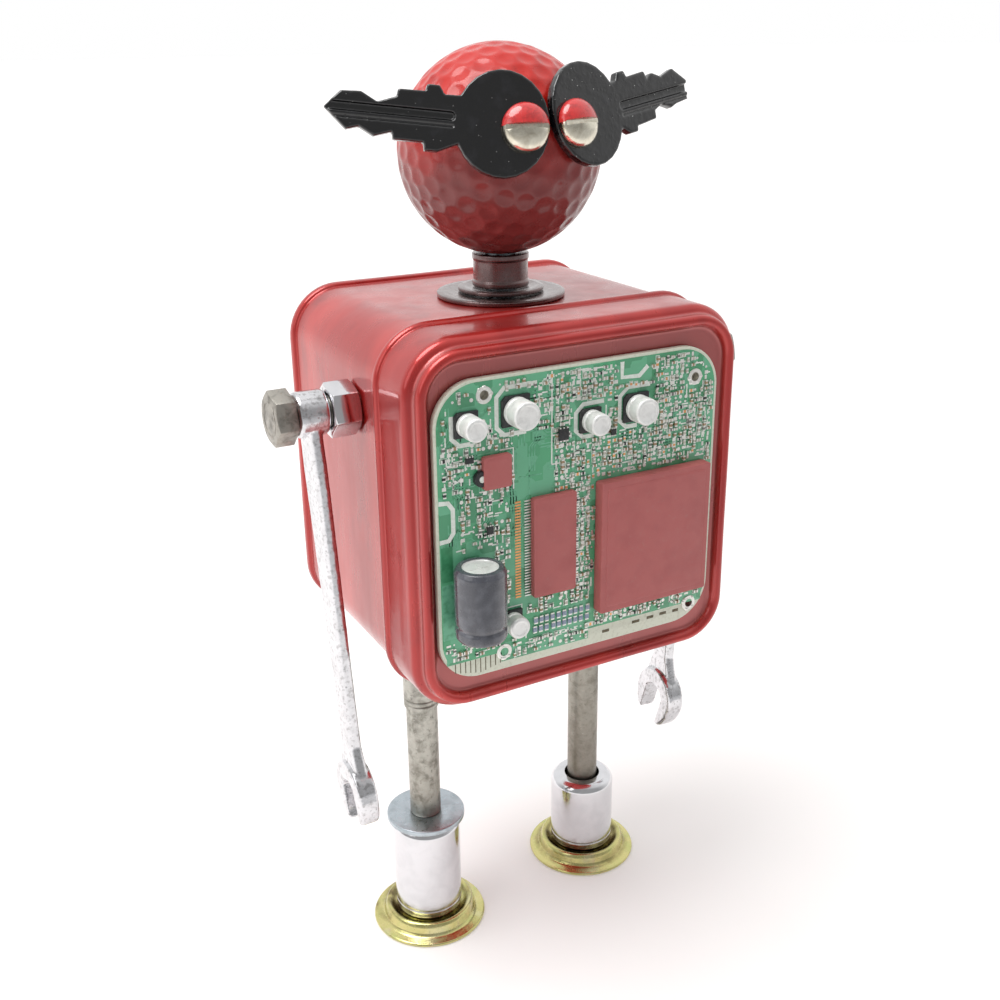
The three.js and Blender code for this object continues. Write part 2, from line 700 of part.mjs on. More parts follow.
function makeArm(name, { side, reach, swing, handOut }) {
  const group = new THREE.Group();
  group.position.set(side * (TIN.halfWidth + WRENCH.ringOut), SHOULDER.y, SHOULDER.z);
  group.rotation.set(THREE.MathUtils.degToRad(swing), 0, side > 0 ? Math.PI : 0);
  robot.add(group);
  addPiece(`wrench_${name}`, wrenchGeometry(reach, handOut), "chrome", group);
}

// ---- legs and feet ----

function cupGeometry() {
  const { radius, ridge, ridgeTop, seat, floor, hollow, hollowTop } = CUP;
  return lathe(
    [
      [hollow, 0],
      [radius - 0.3, 0],
      [radius, 0.4],
      [radius - 0.3, 0.8],
      [ridge + 1.1, 1.1],
      [ridge + 0.4, ridgeTop - 0.8],
      [ridge, ridgeTop - 0.1],
      [ridge - 0.4, ridgeTop],
      [ridge - 0.8, ridgeTop - 0.2],
      [seat, floor],
      [LEG.bore, floor],
      [LEG.bore, hollowTop],
      [hollow, hollowTop],
      [hollow, 0],
    ],
    28,
  );
}

// A hexagon socket stands on its open end. Its drive end, with the square hole, is at the top.
function socketGeometry(top) {
  const { radius, bottom, drive, driveDepth, bore, boreDepth } = SOCKET;
  const shell = lathe(
    [
      [0, bottom],
      [radius - 0.7, bottom],
      [radius, bottom + 0.7],
      [radius, top - 1.8],
      [radius - 1.6, top],
      [0, top],
    ],
    32,
  );
  const driveHole = rod(drive, top - driveDepth, top + 1);
  const hexBore = hexagon(2 * bore * 0.9, bottom - 1, bottom + boreDepth, { chamferTop: false, chamferBottom: false });
  const through = rod(LEG.bore + 0.3, bottom, top);
  return cut(shell, driveHole, hexBore, through);
}

function makeLeg(name, { side, y, tube, socketTop, washerTop }) {
  const group = new THREE.Group();
  group.position.set(side * LEG.x, y, 0);
  robot.add(group);
  const { bolt, bore, top, flats, nut, washer } = LEG;
  const headRadius = 4.4;
  const headTop = CUP.hollowTop - FIT;
  const screw = lathe([
    [0, FLOOR_CLEAR],
    [headRadius - 0.8, FLOOR_CLEAR],
    [headRadius, headTop - 0.6],
    [headRadius, headTop],
    [bolt, headTop],
    [bolt, top - 0.5],
    [bolt - 0.5, top],
    [0, top],
  ]);
  addPiece(`leg_bolt_${name}`, screw, "zinc", group);
  addPiece(`foot_cup_${name}`, cupGeometry(), "brassZinc", group);
  addPiece(`foot_socket_${name}`, socketGeometry(socketTop), "chrome", group);
  let tubeBottom = socketTop - SOCKET.driveDepth + FIT;
  if (washerTop) {
    addPiece("foot_washer_left", ring(9.4, bore + 0.3, socketTop + FIT, washerTop, 28), "zinc", group);
    tubeBottom = washerTop + FIT;
  }
  const tubeTop = TIN_BOTTOM - FIT;
  addPiece(`leg_tube_${name}`, ring(tube, bore, tubeBottom, tubeTop), "dullSteel", group);

  // The washer reaches a little into the rounded corner of the tin, so it stands off the flat.
  const floor = TIN_BOTTOM + TIN.wall + 4 * FIT;
  const seat = floor + INNER_WASHER.thick;
  addPiece(`leg_inner_washer_${name}`, ring(washer, bore, floor, seat), "zinc", group);
  const nutBottom = seat + FIT;
  const nutShape = { bore, chamferTop: false, chamferBottom: false };
  addPiece(`leg_nut_${name}`, hexagon(flats, nutBottom, nutBottom + nut, nutShape), "zinc", group);
  return group;
}

// The left leg's tube is capped by a short sleeve under the tin.
function makeLegSleeve(leg) {
  const { tube } = FEET.left;
  const sleeve = ring(tube + 0.45, tube + 0.08, 60, TIN_BOTTOM - FIT);
  addPiece("leg_sleeve_left", sleeve, "dullSteel", leg);
}

makeTinBody();
makeTinLid();
makeBoard();
for (const [name, chip] of Object.entries(CHIPS)) {
  makeChip(name, chip);
}
CANS.forEach((can, i) => makeCanCapacitor(can, i + 1));
makeBulkCapacitor();
makeNeck();
makeHead();
for (const [name, arm] of Object.entries(ARMS)) {
  makeShoulder(name, arm.side);
  makeArm(name, arm);
}
const legs = Object.entries(FEET).map(([name, foot]) => makeLeg(name, foot));
makeLegSleeve(legs[0]);

robot.position.y = NECK_SETBACK;

export default robot;
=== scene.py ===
"""Looks for a robot figure made of found hardware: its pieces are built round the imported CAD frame."""

import functools
import json
import math
import random

import bmesh
import bpy
from mathutils import Matrix, Vector, noise

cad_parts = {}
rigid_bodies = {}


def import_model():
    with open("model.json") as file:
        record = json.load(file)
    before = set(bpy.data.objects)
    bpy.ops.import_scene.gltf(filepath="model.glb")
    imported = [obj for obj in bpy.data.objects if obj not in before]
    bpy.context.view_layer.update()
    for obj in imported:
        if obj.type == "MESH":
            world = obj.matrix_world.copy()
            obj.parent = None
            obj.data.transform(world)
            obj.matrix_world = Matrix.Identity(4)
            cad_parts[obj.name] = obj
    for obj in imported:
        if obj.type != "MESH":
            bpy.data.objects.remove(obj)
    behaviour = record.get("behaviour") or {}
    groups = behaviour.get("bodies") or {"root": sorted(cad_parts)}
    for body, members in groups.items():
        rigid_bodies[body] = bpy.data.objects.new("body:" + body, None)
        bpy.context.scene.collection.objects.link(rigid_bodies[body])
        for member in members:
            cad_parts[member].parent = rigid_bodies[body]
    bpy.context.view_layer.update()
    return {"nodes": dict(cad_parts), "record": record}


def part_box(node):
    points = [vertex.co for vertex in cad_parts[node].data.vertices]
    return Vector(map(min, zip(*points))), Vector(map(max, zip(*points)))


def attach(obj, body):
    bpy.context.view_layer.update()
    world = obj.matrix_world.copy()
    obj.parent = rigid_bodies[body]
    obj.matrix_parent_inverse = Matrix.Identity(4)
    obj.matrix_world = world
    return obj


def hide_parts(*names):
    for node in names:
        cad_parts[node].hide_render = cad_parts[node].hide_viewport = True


bl_info = {
    "name": "Found Hardware Robot",
    "version": (1, 0, 0),
    "blender": (4, 5, 0),
    "location": "3D View > Sidebar > Robot",
    "description": "Builds the visible pieces of a robot figure round its packed CAD frame",
    "category": "Object",
}

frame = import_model()
MM = 0.001


# ---- where the CAD frame puts things, in millimetres ----


@functools.cache
def low(node):
    return (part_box(node)[0] / MM).freeze()


@functools.cache
def high(node):
    return (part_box(node)[1] / MM).freeze()


def middle(node):
    return (low(node) + high(node)) / 2


def extent(node):
    return high(node) - low(node)


BOARD_FRONT = low("circuit_board").y
BALL_CENTRE = Vector((0, middle("head_ball").y, high("head_ball").z - extent("head_ball").x / 2))
BALL_RADIUS = extent("head_ball").x / 2
# How far the lid's flat panel lies ahead of its rear edge.
LID_PANEL = 14.4
SIDES = {"left": -1, "right": 1}

# The board's own plane: x across, y up and z out of its front, onto the row frame.
ON_BOARD = Matrix(((1, 0, 0, 0), (0, 0, -1, BOARD_FRONT), (0, 1, 0, 0), (0, 0, 0, 1)))
# Steps round a plate's eased edge, round a tin corner and along a tin side.
EDGE_STEPS, CORNER_STEPS, SIDE_STEPS = 2, 12, 10


def moved(x, y, z):
    return Matrix.Translation((x, y, z))


def standing(node):
    """The middle of a CAD node's underside, where a piece turned about Z stands."""
    return moved(middle(node).x, middle(node).y, low(node).z)


# ---- plain mesh work, in millimetres until a piece is placed ----


def soften(points, radius, steps=3, closed=False):
    """Rounds each corner of an outline or profile, by less where an edge is short."""
    points = [Vector(p) for p in points]
    count = len(points)
    result = []
    for i, here in enumerate(points):
        if not closed and i in (0, count - 1):
            result.append(here)
            continue
        before, after = points[i - 1], points[(i + 1) % count]
        reach = min(radius, 0.45 * (before - here).length, 0.45 * (after - here).length)
        start = here + (before - here).normalized() * reach
        end = here + (after - here).normalized() * reach
        for k in range(steps + 1):
            t = k / steps
            result.append((1 - t) ** 2 * start + 2 * t * (1 - t) * here + t * t * end)
    return result


def skin(rings, closed):
    """A surface through rings of points. A ring of one point is a pole."""
    points = [p for ring in rings for p in ring]
    starts = [sum(len(r) for r in rings[:i]) for i in range(len(rings))]
    faces = []
    bands = len(rings) if closed else len(rings) - 1
    for band in range(bands):
        a, b = band, (band + 1) % len(rings)
        count = max(len(rings[a]), len(rings[b]))
        for i in range(count):
            j = (i + 1) % count
            corners = [
                starts[a] + i % len(rings[a]),
                starts[a] + j % len(rings[a]),
                starts[b] + j % len(rings[b]),
                starts[b] + i % len(rings[b]),
            ]
            corners = list(dict.fromkeys(corners))
            if len(corners) > 2:
                faces.append(corners)
    mesh = bpy.data.meshes.new("skin")
    mesh.from_pydata([tuple(p) for p in points], [], faces)
    return tidied(mesh)


def tidied(mesh, weld=1e-4):
    """Doubles merged, and every face turned outwards."""
    work = bmesh.new()
    work.from_mesh(mesh)
    bmesh.ops.remove_doubles(work, verts=work.verts, dist=weld)
    bmesh.ops.dissolve_degenerate(work, edges=work.edges, dist=weld)
    bmesh.ops.recalc_face_normals(work, faces=work.faces)
    work.to_mesh(mesh)
    work.free()
    return mesh


def turned(profile, steps=96, closed=False):
    """A profile of (radius, height) points turned about Z."""
    rings = []
    for radius, height in profile:
        if radius < 1e-6:
            rings.append([Vector((0, 0, height))])
            continue
        angles = [2 * math.pi * i / steps for i in range(steps)]
        rings.append([Vector((radius * math.cos(a), radius * math.sin(a), height)) for a in angles])
    return skin(rings, closed)


def rod(radius, bottom, top, ease=0.2, steps=64):
    corners = [(0, bottom), (radius, bottom), (radius, top), (0, top)]
    return turned(soften(corners, ease), steps)


def tube(outer, inner, bottom, top, ease=0.2, steps=96):
    corners = [(inner, bottom), (outer, bottom), (outer, top), (inner, top)]
    return turned(soften(corners, ease, closed=True), steps, closed=True)


def sheet(outlines, bottom, top, ease=0.0):
    """A flat plate between two heights. The first outline is its edge and the others are its holes."""
    curve = bpy.data.curves.new("sheet", "CURVE")
    curve.dimensions = "2D"
    curve.fill_mode = "BOTH"
    curve.extrude = (top - bottom) / 2 - ease
    curve.bevel_depth = ease
    curve.bevel_resolution = EDGE_STEPS
    curve.offset = -ease
    for outline in outlines:
        spline = curve.splines.new("POLY")
        spline.points.add(len(outline) - 1)
        for point, (x, y) in zip(spline.points, outline):
            point.co = (x, y, 0, 1)
        spline.use_cyclic_u = True
    bench = bpy.data.objects.new("bench", curve)
    mesh = evaluated(bench)
    bpy.data.curves.remove(curve)
    mesh.transform(moved(0, 0, (top + bottom) / 2))
    return tidied(mesh)


def evaluated(bench):
    """The plain mesh of an object with its modifiers, and the object removed."""
    scene = bpy.context.scene
    scene.collection.objects.link(bench)
    bpy.context.view_layer.update()
    graph = bpy.context.evaluated_depsgraph_get()
    mesh = bpy.data.meshes.new_from_object(bench.evaluated_get(graph))
    bpy.data.objects.remove(bench)
    return mesh


def worked(mesh, *steps):
    """The mesh after a stack of modifiers, each a kind with its settings."""
    bench = bpy.data.objects.new("bench", mesh)
    for kind, settings in steps:
        modifier = bench.modifiers.new(kind.title(), kind)
        for key, value in settings.items():
            setattr(modifier, key, value)
    return evaluated(bench)


def combined(mesh, tool, operation):
    other = bpy.data.objects.new("tool", tool)
    bpy.context.scene.collection.objects.link(other)
    result = worked(mesh, ("BOOLEAN", {"operation": operation, "object": other, "solver": "EXACT"}))
    bpy.data.objects.remove(other)
    return result


def together(*meshes):
    """Meshes that don't touch, as one mesh."""
    work = bmesh.new()
    for mesh in meshes:
        work.from_mesh(mesh)
    result = bpy.data.meshes.new("together")
    work.to_mesh(result)
    work.free()
    return result


def copy_of(node):
    """A CAD node's mesh in millimetres, with its loose triangles merged."""
    mesh = frame["nodes"][node].data.copy()
    mesh.materials.clear()
    mesh.transform(Matrix.Scale(1 / MM, 4))
    return tidied(mesh, 2e-3)


def circle(radius, steps=48, x=0.0, y=0.0):
    angles = [2 * math.pi * i / steps for i in range(steps)]
    return [(x + radius * math.cos(a), y + radius * math.sin(a)) for a in angles]


def rounded_box(half_x, half_y, corner, steps=10, x=0.0, y=0.0):
    points = []
    for quadrant, (sx, sy) in enumerate([(1, 1), (-1, 1), (-1, -1), (1, -1)]):
        for i in range(steps + 1):
            angle = math.radians(90 * (quadrant + i / steps))
            across = x + sx * (half_x - corner) + corner * math.cos(angle)
            up = y + sy * (half_y - corner) + corner * math.sin(angle)
            points.append((across, up))
    return points


def block(x0, x1, y0, y1, z0, z1, ease=0.1):
    outline = [(x0, y0), (x1, y0), (x1, y1), (x0, y1)]
    return sheet([outline], z0, z1, ease)


def piece(name, mesh, place, body, materials, nodes=(), sharp=38):
    """Places a mesh made in millimetres, gives it its finish, and lets it ride on its body."""
    mesh.transform(place)
    mesh.transform(Matrix.Scale(MM, 4))
    mesh.name = name
    if materials:
        indices = [polygon.material_index for polygon in mesh.polygons]
        mesh.materials.clear()
        for material in materials:
            mesh.materials.append(material)
        mesh.polygons.foreach_set("material_index", indices)
    mesh.shade_smooth()
    mesh.set_sharp_from_angle(angle=math.radians(sharp))
    made = bpy.data.objects.new(name, mesh)
    bpy.context.scene.collection.objects.link(made)
    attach(made, body)
    if nodes:
        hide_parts(*nodes)
    return made


# ---- geometry node recipes ----


class Recipe:
    """A geometry node tree with named inputs, which ends in real geometry of one material."""

    def __init__(self, name, inputs):
        self.tree = bpy.data.node_groups.new(name, "GeometryNodeTree")
        sockets = self.tree.interface
        sockets.new_socket("Geometry", in_out="INPUT", socket_type="NodeSocketGeometry")
        self.ids = {}
        for label, (kind, value) in inputs.items():
            socket = sockets.new_socket(label, in_out="INPUT", socket_type=f"NodeSocket{kind}")
            socket.default_value = value
            self.ids[label] = socket.identifier
        material = sockets.new_socket("Material", in_out="INPUT", socket_type="NodeSocketMaterial")
        self.ids["Material"] = material.identifier
        sockets.new_socket("Geometry", in_out="OUTPUT", socket_type="NodeSocketGeometry")
        self.given = self.tree.nodes.new("NodeGroupInput").outputs
        self.leave = self.tree.nodes.new("NodeGroupOutput")

    def add(self, kind, *inputs, **settings):
        """A node with its input sockets in order: a value, another node's output, or None to leave it."""
        node = self.tree.nodes.new(kind)
        for key, value in settings.items():
            setattr(node, key, value)
        for socket, value in zip([s for s in node.inputs if s.enabled], inputs):
            if isinstance(value, bpy.types.NodeSocket):
                self.tree.links.new(value, socket)
            elif value is not None:
                socket.default_value = value
        return node.outputs[0]

    def math(self, operation, *values):
        return self.add("ShaderNodeMath", *values, operation=operation)

    def end(self, geometry):
        real = self.add("GeometryNodeRealizeInstances", geometry)
        named = self.add("GeometryNodeSetMaterial", real, None, self.given["Material"])
        self.tree.links.new(named, self.leave.inputs[0])

    def grow(self, mesh, material, **values):
        """The plain mesh that the tree makes of an input mesh."""
        bench = bpy.data.objects.new("bench", mesh)
        modifier = bench.modifiers.new("Recipe", "NODES")
        modifier.node_group = self.tree
        modifier[self.ids["Material"]] = material
        for label, value in values.items():
            modifier[self.ids[label.replace("_", " ")]] = value
        return evaluated(bench)


def dimple_recipe():
    recipe = Recipe(
        "Dimpled Ball",
        {
            "Radius": ("Float", BALL_RADIUS),
            "Subdivisions": ("Int", 7),
            "Dimple Radius": ("Float", 2.0),
            "Dimple Depth": ("Float", 0.3),
        },
    )
    given = recipe.given
    ball = recipe.add("GeometryNodeMeshIcoSphere", given["Radius"], given["Subdivisions"])
    place = recipe.add("GeometryNodeInputPosition")
    near = recipe.tree.nodes.new("GeometryNodeProximity")
    near.target_element = "POINTS"
    recipe.tree.links.new(given["Geometry"], near.inputs[0])
    share = recipe.math("DIVIDE", near.outputs["Distance"], given["Dimple Radius"])
    square = recipe.math("MULTIPLY", share, share)
    bowl = recipe.math("MAXIMUM", recipe.math("SUBTRACT", 1.0, square), 0.0)
    soft = recipe.math("POWER", bowl, 1.15)
    sink = recipe.math("MULTIPLY", soft, given["Dimple Depth"])
    inward = recipe.math("MULTIPLY", sink, -1.0)
    direction = recipe.add("ShaderNodeVectorMath", place, operation="NORMALIZE")
    shift = recipe.tree.nodes.new("ShaderNodeVectorMath")
    shift.operation = "SCALE"
    recipe.tree.links.new(direction, shift.inputs[0])
    recipe.tree.links.new(inward, shift.inputs["Scale"])
    sunk = recipe.add("GeometryNodeSetPosition", ball, None, None, shift.outputs[0])
    recipe.end(sunk)
    return recipe


def scatter_recipe(name, round_parts=False):
    """Small parts on points. Each point's own size and turn are read from its attributes."""
    recipe = Recipe(name, {"Length": ("Float", 1.0), "Width": ("Float", 1.0), "Height": ("Float", 1.0)})
    given = recipe.given
    size = recipe.add("ShaderNodeCombineXYZ", given["Length"], given["Width"], given["Height"])
    if round_parts:
        disc = recipe.add("GeometryNodeMeshCylinder", 12, 1, 1, 0.5, 1.0)
        part = recipe.add("GeometryNodeTransform", disc, None, None, size)
    else:
        part = recipe.add("GeometryNodeMeshCube", size, 2, 2, 2)
    stretch = attribute(recipe, "stretch")
    spin = recipe.add("FunctionNodeEulerToRotation", attribute(recipe, "turn"))
    spread = recipe.add(
        "GeometryNodeInstanceOnPoints", given["Geometry"], True, part, False, None, spin, stretch
    )
    recipe.end(spread)
    return recipe


def attribute(recipe, name):
    node = recipe.tree.nodes.new("GeometryNodeInputNamedAttribute")
    node.data_type = "FLOAT_VECTOR"
    node.inputs["Name"].default_value = name
    return node.outputs["Attribute"]


def strip_recipe(name):
    """A flat strip of one width and height along each path."""
    recipe = Recipe(name, {"Width": ("Float", 0.3), "Height": ("Float", 0.06)})
    given = recipe.given
    path = recipe.add("GeometryNodeMeshToCurve", given["Geometry"], True)
    level = recipe.add("GeometryNodeSetCurveNormal", path, True, mode="Z_UP")
    section = recipe.add("GeometryNodeCurvePrimitiveQuadrilateral", given["Width"], given["Height"])
    strip = recipe.add("GeometryNodeCurveToMesh", level, section, 1.0, True)
    recipe.end(strip)
    return recipe


def point_mesh(points):
    """Points with their attributes: (position, turn about Z, stretch)."""
    mesh = bpy.data.meshes.new("points")
    mesh.from_pydata([p for p, _, _ in points], [], [])
    turns = mesh.attributes.new("turn", "FLOAT_VECTOR", "POINT")
    stretches = mesh.attributes.new("stretch", "FLOAT_VECTOR", "POINT")
    for i, (_, turn, stretch) in enumerate(points):
        turns.data[i].vector = (0, 0, turn)
        stretches.data[i].vector = stretch
    return mesh


def path_mesh(paths, height):
    """Open or closed polylines on the board's plane, as edges at one height."""
    points, edges = [], []
    for path, closed in paths:
        start = len(points)
        points += [(x, y, height) for x, y in path]
        edges += [(start + i, start + i + 1) for i in range(len(path) - 1)]
        if closed:
            edges.append((start + len(path) - 1, start))
    mesh = bpy.data.meshes.new("paths")
    mesh.from_pydata(points, edges, [])
    return mesh


# ---- finishes ----


class Finish:
    """One material, built up on its own surface shader. Grain sizes are in millimetres."""

    def __init__(self, name, colour, metallic=0.0, roughness=0.4, coat=0.0, coat_roughness=0.05):
        self.material = bpy.data.materials.new(name)
        self.material.use_nodes = True
        self.tree = self.material.node_tree
        self.surface = self.tree.nodes["Principled BSDF"]
        self.place = self.tree.nodes.new("ShaderNodeTexCoord").outputs["Object"]
        self.relief = None
        base = (*colour, 1)
        self.colour = base
        self.set("Base Color", base)
        self.set("Metallic", metallic)
        self.set("Roughness", roughness)
        self.set("Coat Weight", coat)
        self.set("Coat Roughness", coat_roughness)
        self.set("IOR", 1.5)

    def set(self, socket, value):
        self.surface.inputs[socket].default_value = value
        return self

    def add(self, kind, **settings):
        node = self.tree.nodes.new(kind)
        for key, value in settings.items():
            setattr(node, key, value)
        return node

    def link(self, source, socket):
        self.tree.links.new(source, socket)

    def along(self, axis):
        """One coordinate of the surface point, in metres."""
        node = self.add("ShaderNodeSeparateXYZ")
        self.link(self.place, node.inputs[0])
        return node.outputs[axis]

    def mapped(self, stretch):
        node = self.add("ShaderNodeMapping")
        node.inputs["Scale"].default_value = stretch
        self.link(self.place, node.inputs["Vector"])
        return node.outputs[0]

    def noise(self, size, detail=3.0, rough=0.5, stretch=(1, 1, 1), warp=0.0):
        node = self.add("ShaderNodeTexNoise")
        node.inputs["Scale"].default_value = 1 / (size * MM)
        node.inputs["Detail"].default_value = detail
        node.inputs["Roughness"].default_value = rough
        node.inputs["Distortion"].default_value = warp
        self.link(self.mapped(stretch), node.inputs["Vector"])
        return node.outputs["Fac"]

    def cells(self, size, stretch=(1, 1, 1), distance="EUCLIDEAN", output="Distance"):
        node = self.add("ShaderNodeTexVoronoi", distance=distance)
        node.inputs["Scale"].default_value = 1 / (size * MM)
        self.link(self.mapped(stretch), node.inputs["Vector"])
        return node.outputs[output]

    def spread(self, source, low_in, high_in, low_out=0.0, high_out=1.0):
        node = self.add("ShaderNodeMapRange")
        for socket, value in zip(list(node.inputs)[1:5], (low_in, high_in, low_out, high_out)):
            socket.default_value = value
        self.link(source, node.inputs[0])
        return node.outputs[0]

    def times(self, a, b, operation="MULTIPLY"):
        node = self.add("ShaderNodeMath", operation=operation)
        for socket, value in zip(node.inputs, (a, b)):
            if isinstance(value, (int, float)):
                socket.default_value = value
            else:
                self.link(value, socket)
        return node.outputs[0]

    def blend(self, factor, colour):
        """Mixes another colour over the base by a factor's output."""
        node = self.add("ShaderNodeMix", data_type="RGBA")
        self.link(factor, node.inputs["Factor"])
        a, b = [s for s in node.inputs if s.type == "RGBA"][:2]
        if isinstance(self.colour, tuple):
            a.default_value = self.colour
        else:
            self.link(self.colour, a)
        b.default_value = (*colour, 1)
        self.colour = [s for s in node.outputs if s.type == "RGBA"][0]
        self.link(self.colour, self.surface.inputs["Base Color"])
        return self

    def rough(self, source, smooth, dull):
        self.link(self.spread(source, 0.3, 0.7, smooth, dull), self.surface.inputs["Roughness"])
        return self

    def bump(self, source, height, strength=1.0):
        """Relief of a height in millimetres, added to what is there."""
        node = self.add("ShaderNodeBump")
        node.inputs["Distance"].default_value = height * MM
        node.inputs["Strength"].default_value = strength
        self.link(source, node.inputs["Height"])
        if self.relief is not None:
            self.link(self.relief, node.inputs["Normal"])
        self.relief = node.outputs[0]
        self.link(self.relief, self.surface.inputs["Normal"])
        return self


FINISHES = {}


def finish_for(name):
    """The named finish's material, made the first time it is asked for."""
    if name not in FINISHES:
        FINISHES[name] = FINISH_MAKERS[name](bpy.context.scene.robot_colours)
    return FINISHES[name]


def candy_lacquer(colours, name="candy_lacquer", dusty=None):
    """Red lacquer over bright tinplate; dusty gives the depth of a matt panel, if there is one."""
    f = Finish(name, colours.lacquer, metallic=0.45, roughness=0.28, coat=0.55, coat_roughness=0.07)
    f.set("Coat IOR", 1.6)
    clouds = f.noise(16, detail=3, stretch=(1, 1, 0.35))
    f.blend(f.spread(clouds, 0.42, 0.66), colours.lacquer_light)
    pooled = f.noise(6, detail=4, rough=0.5, stretch=(1, 1, 0.4))
    f.blend(f.spread(pooled, 0.55, 0.78, 0, 0.45), colours.lacquer_dark)
    f.rough(f.noise(5, detail=4, stretch=(1, 1, 0.3)), 0.24, 0.38)
    f.bump(f.noise(11, detail=2, stretch=(1, 1, 0.5)), 0.14, 0.5)
    f.bump(f.noise(0.8, detail=2), 0.006, 0.4)
    if dusty is not None:
        depth = f.along("Y")
        behind = f.spread(depth, (dusty + 0.6) * MM, (dusty + 0.1) * MM, 0, 0.75)
        before = f.spread(depth, (dusty - 0.8) * MM, (dusty - 0.3) * MM)
        f.blend(f.times(behind, before), colours.dusty_lacquer)
    return f.material


def lid_lacquer(colours):
    return candy_lacquer(colours, "lid_lacquer", high("tin_lid").y - LID_PANEL)


def ball_enamel(colours):
    f = Finish("ball_enamel", colours.enamel, roughness=0.3, coat=0.3, coat_roughness=0.08)
    f.set("Specular IOR Level", 0.3)
    # Painted shade: the enamel darkens from 10 mm above the ball's middle to 6 mm below it, standing in for
    # the shade on the ball's lower half; noise blurs the edge.
    thin = f.times(f.along("Z"), f.spread(f.noise(9, detail=3), 0.3, 0.7, -3 * MM, 3 * MM), "ADD")
    crown = BALL_CENTRE.z * MM
    f.blend(f.spread(thin, crown + 10 * MM, crown - 6 * MM, 0, 0.85), colours.enamel_painted_shade)
    f.blend(f.spread(f.noise(5, detail=4), 0.5, 0.7, 0, 0.35), colours.lacquer_dark)
    f.rough(f.noise(4, detail=4), 0.22, 0.38)
    f.bump(f.noise(2.2, detail=2), 0.05, 0.5)
    f.bump(f.noise(0.5, detail=3), 0.006, 0.5)
    return f.material


def key_paint(colours):
    f = Finish("key_paint", colours.key_black, roughness=0.14, coat=0.5, coat_roughness=0.05)
    f.blend(f.spread(f.noise(3, detail=5), 0.55, 0.75, 0, 0.6), (0.016, 0.016, 0.02))
    # Pale flecks, more of them towards +X and so mostly on the right key: painted glints, and dust specks.
    glints_and_dust = f.times(f.spread(f.cells(1.5), 0.05, 0.09, 1, 0), f.spread(f.along("X"), 0, 5 * MM, 0.25, 0.9))
    f.blend(glints_and_dust, (0.6, 0.6, 0.58))
    f.rough(f.noise(1.4, detail=5), 0.1, 0.26)
    f.bump(f.noise(1.5, detail=2), 0.16, 0.8)
    f.bump(f.spread(f.cells(1.1), 0.1, 0.3, 1, 0), 0.05, 0.6)
    f.bump(f.noise(0.3, detail=3), 0.01, 0.6)
    return f.material


def eyelid_paint(colours):
    f = Finish("eyelid_paint", colours.eyelid, roughness=0.16, coat=0.8)
    f.blend(f.spread(f.noise(1.2, detail=4), 0.5, 0.72, 0, 0.5), colours.lacquer_dark)
    f.rough(f.noise(0.8, detail=4), 0.12, 0.3)
    f.bump(f.noise(0.6, detail=3), 0.02, 0.5)
    return f.material


def metal(name, colour, shade, roughness, grain, stretch=(1, 1, 1), relief=0.01, patch=6.0, share=0.6):
    """A bare or plated metal: cloudy tint, patchy roughness, fine grain along its working direction."""
    f = Finish(name, colour, metallic=1.0, roughness=roughness[0])
    f.blend(f.spread(f.noise(patch, detail=5, rough=0.6, warp=0.4), 0.45, 0.68, 0, share), shade)
    f.rough(f.noise(patch / 3, detail=6, rough=0.65), *roughness)
    f.bump(f.noise(grain, detail=4, stretch=stretch), relief, 0.6)
    return f


def nickel(colours):
    f = metal("nickel", colours.nickel, (0.42, 0.37, 0.28), (0.12, 0.3), 0.35, relief=0.006, patch=2.5)
    return f.material


def neck_steel(colours):
    # The maroon of the dark patches is a painted reflection of the red ball and tin on the dark steel.
    f = metal("neck_steel", colours.gunmetal, (0.14, 0.05, 0.045), (0.16, 0.4), 0.4, relief=0.01, patch=3)
    f.set("Coat Weight", 0.6).set("Coat Roughness", 0.12)
    return f.material


def chrome(colours):
    f = metal("chrome", colours.chrome, (0.55, 0.55, 0.57), (0.07, 0.2), 0.5, (1, 1, 0.15), 0.003, 5, 0.35)
    # Painted shade and reflection: the chrome darkens in patches from 8 mm above the floor downwards, on the
    # sockets' lower band, standing in for the shade and the reflected cup there.
    painted_base_shade = f.times(f.spread(f.along("Z"), 8 * MM, 3.5 * MM),
                    f.spread(f.noise(2.5, detail=4), 0.4, 0.6, 0.1, 0.8))
    f.blend(painted_base_shade, (0.2, 0.12, 0.1))
    scratches = f.noise(0.25, detail=2, stretch=(1, 1, 0.03))
    f.bump(f.spread(scratches, 0.66, 0.74), 0.002, 0.4)
    return f.material


def forged_chrome(colours):
    f = metal("forged_chrome", colours.chrome, (0.5, 0.5, 0.51), (0.08, 0.26), 1.6, relief=0.05, patch=4,
              share=0.5)
    f.bump(f.noise(0.45, detail=4, rough=0.6), 0.016, 0.6)
    pits = f.spread(f.cells(1.7), 0.06, 0.16, 0, 1)
    f.bump(pits, 0.02, 0.5)
    f.blend(f.spread(f.noise(0.9, detail=5), 0.52, 0.66, 0, 0.6), (0.36, 0.35, 0.35))
    f.blend(f.spread(f.cells(1.7), 0.08, 0.17, 0.5, 0), (0.2, 0.19, 0.18))
    return f.material


def bolt_steel(colours):
    f = metal("bolt_steel", colours.bolt_steel, (0.16, 0.15, 0.13), (0.28, 0.55), 0.5, relief=0.02, patch=2.2,
              share=0.8)
    f.blend(f.spread(f.noise(0.7, detail=5), 0.6, 0.75, 0, 0.5), (0.24, 0.17, 0.1))
    return f.material


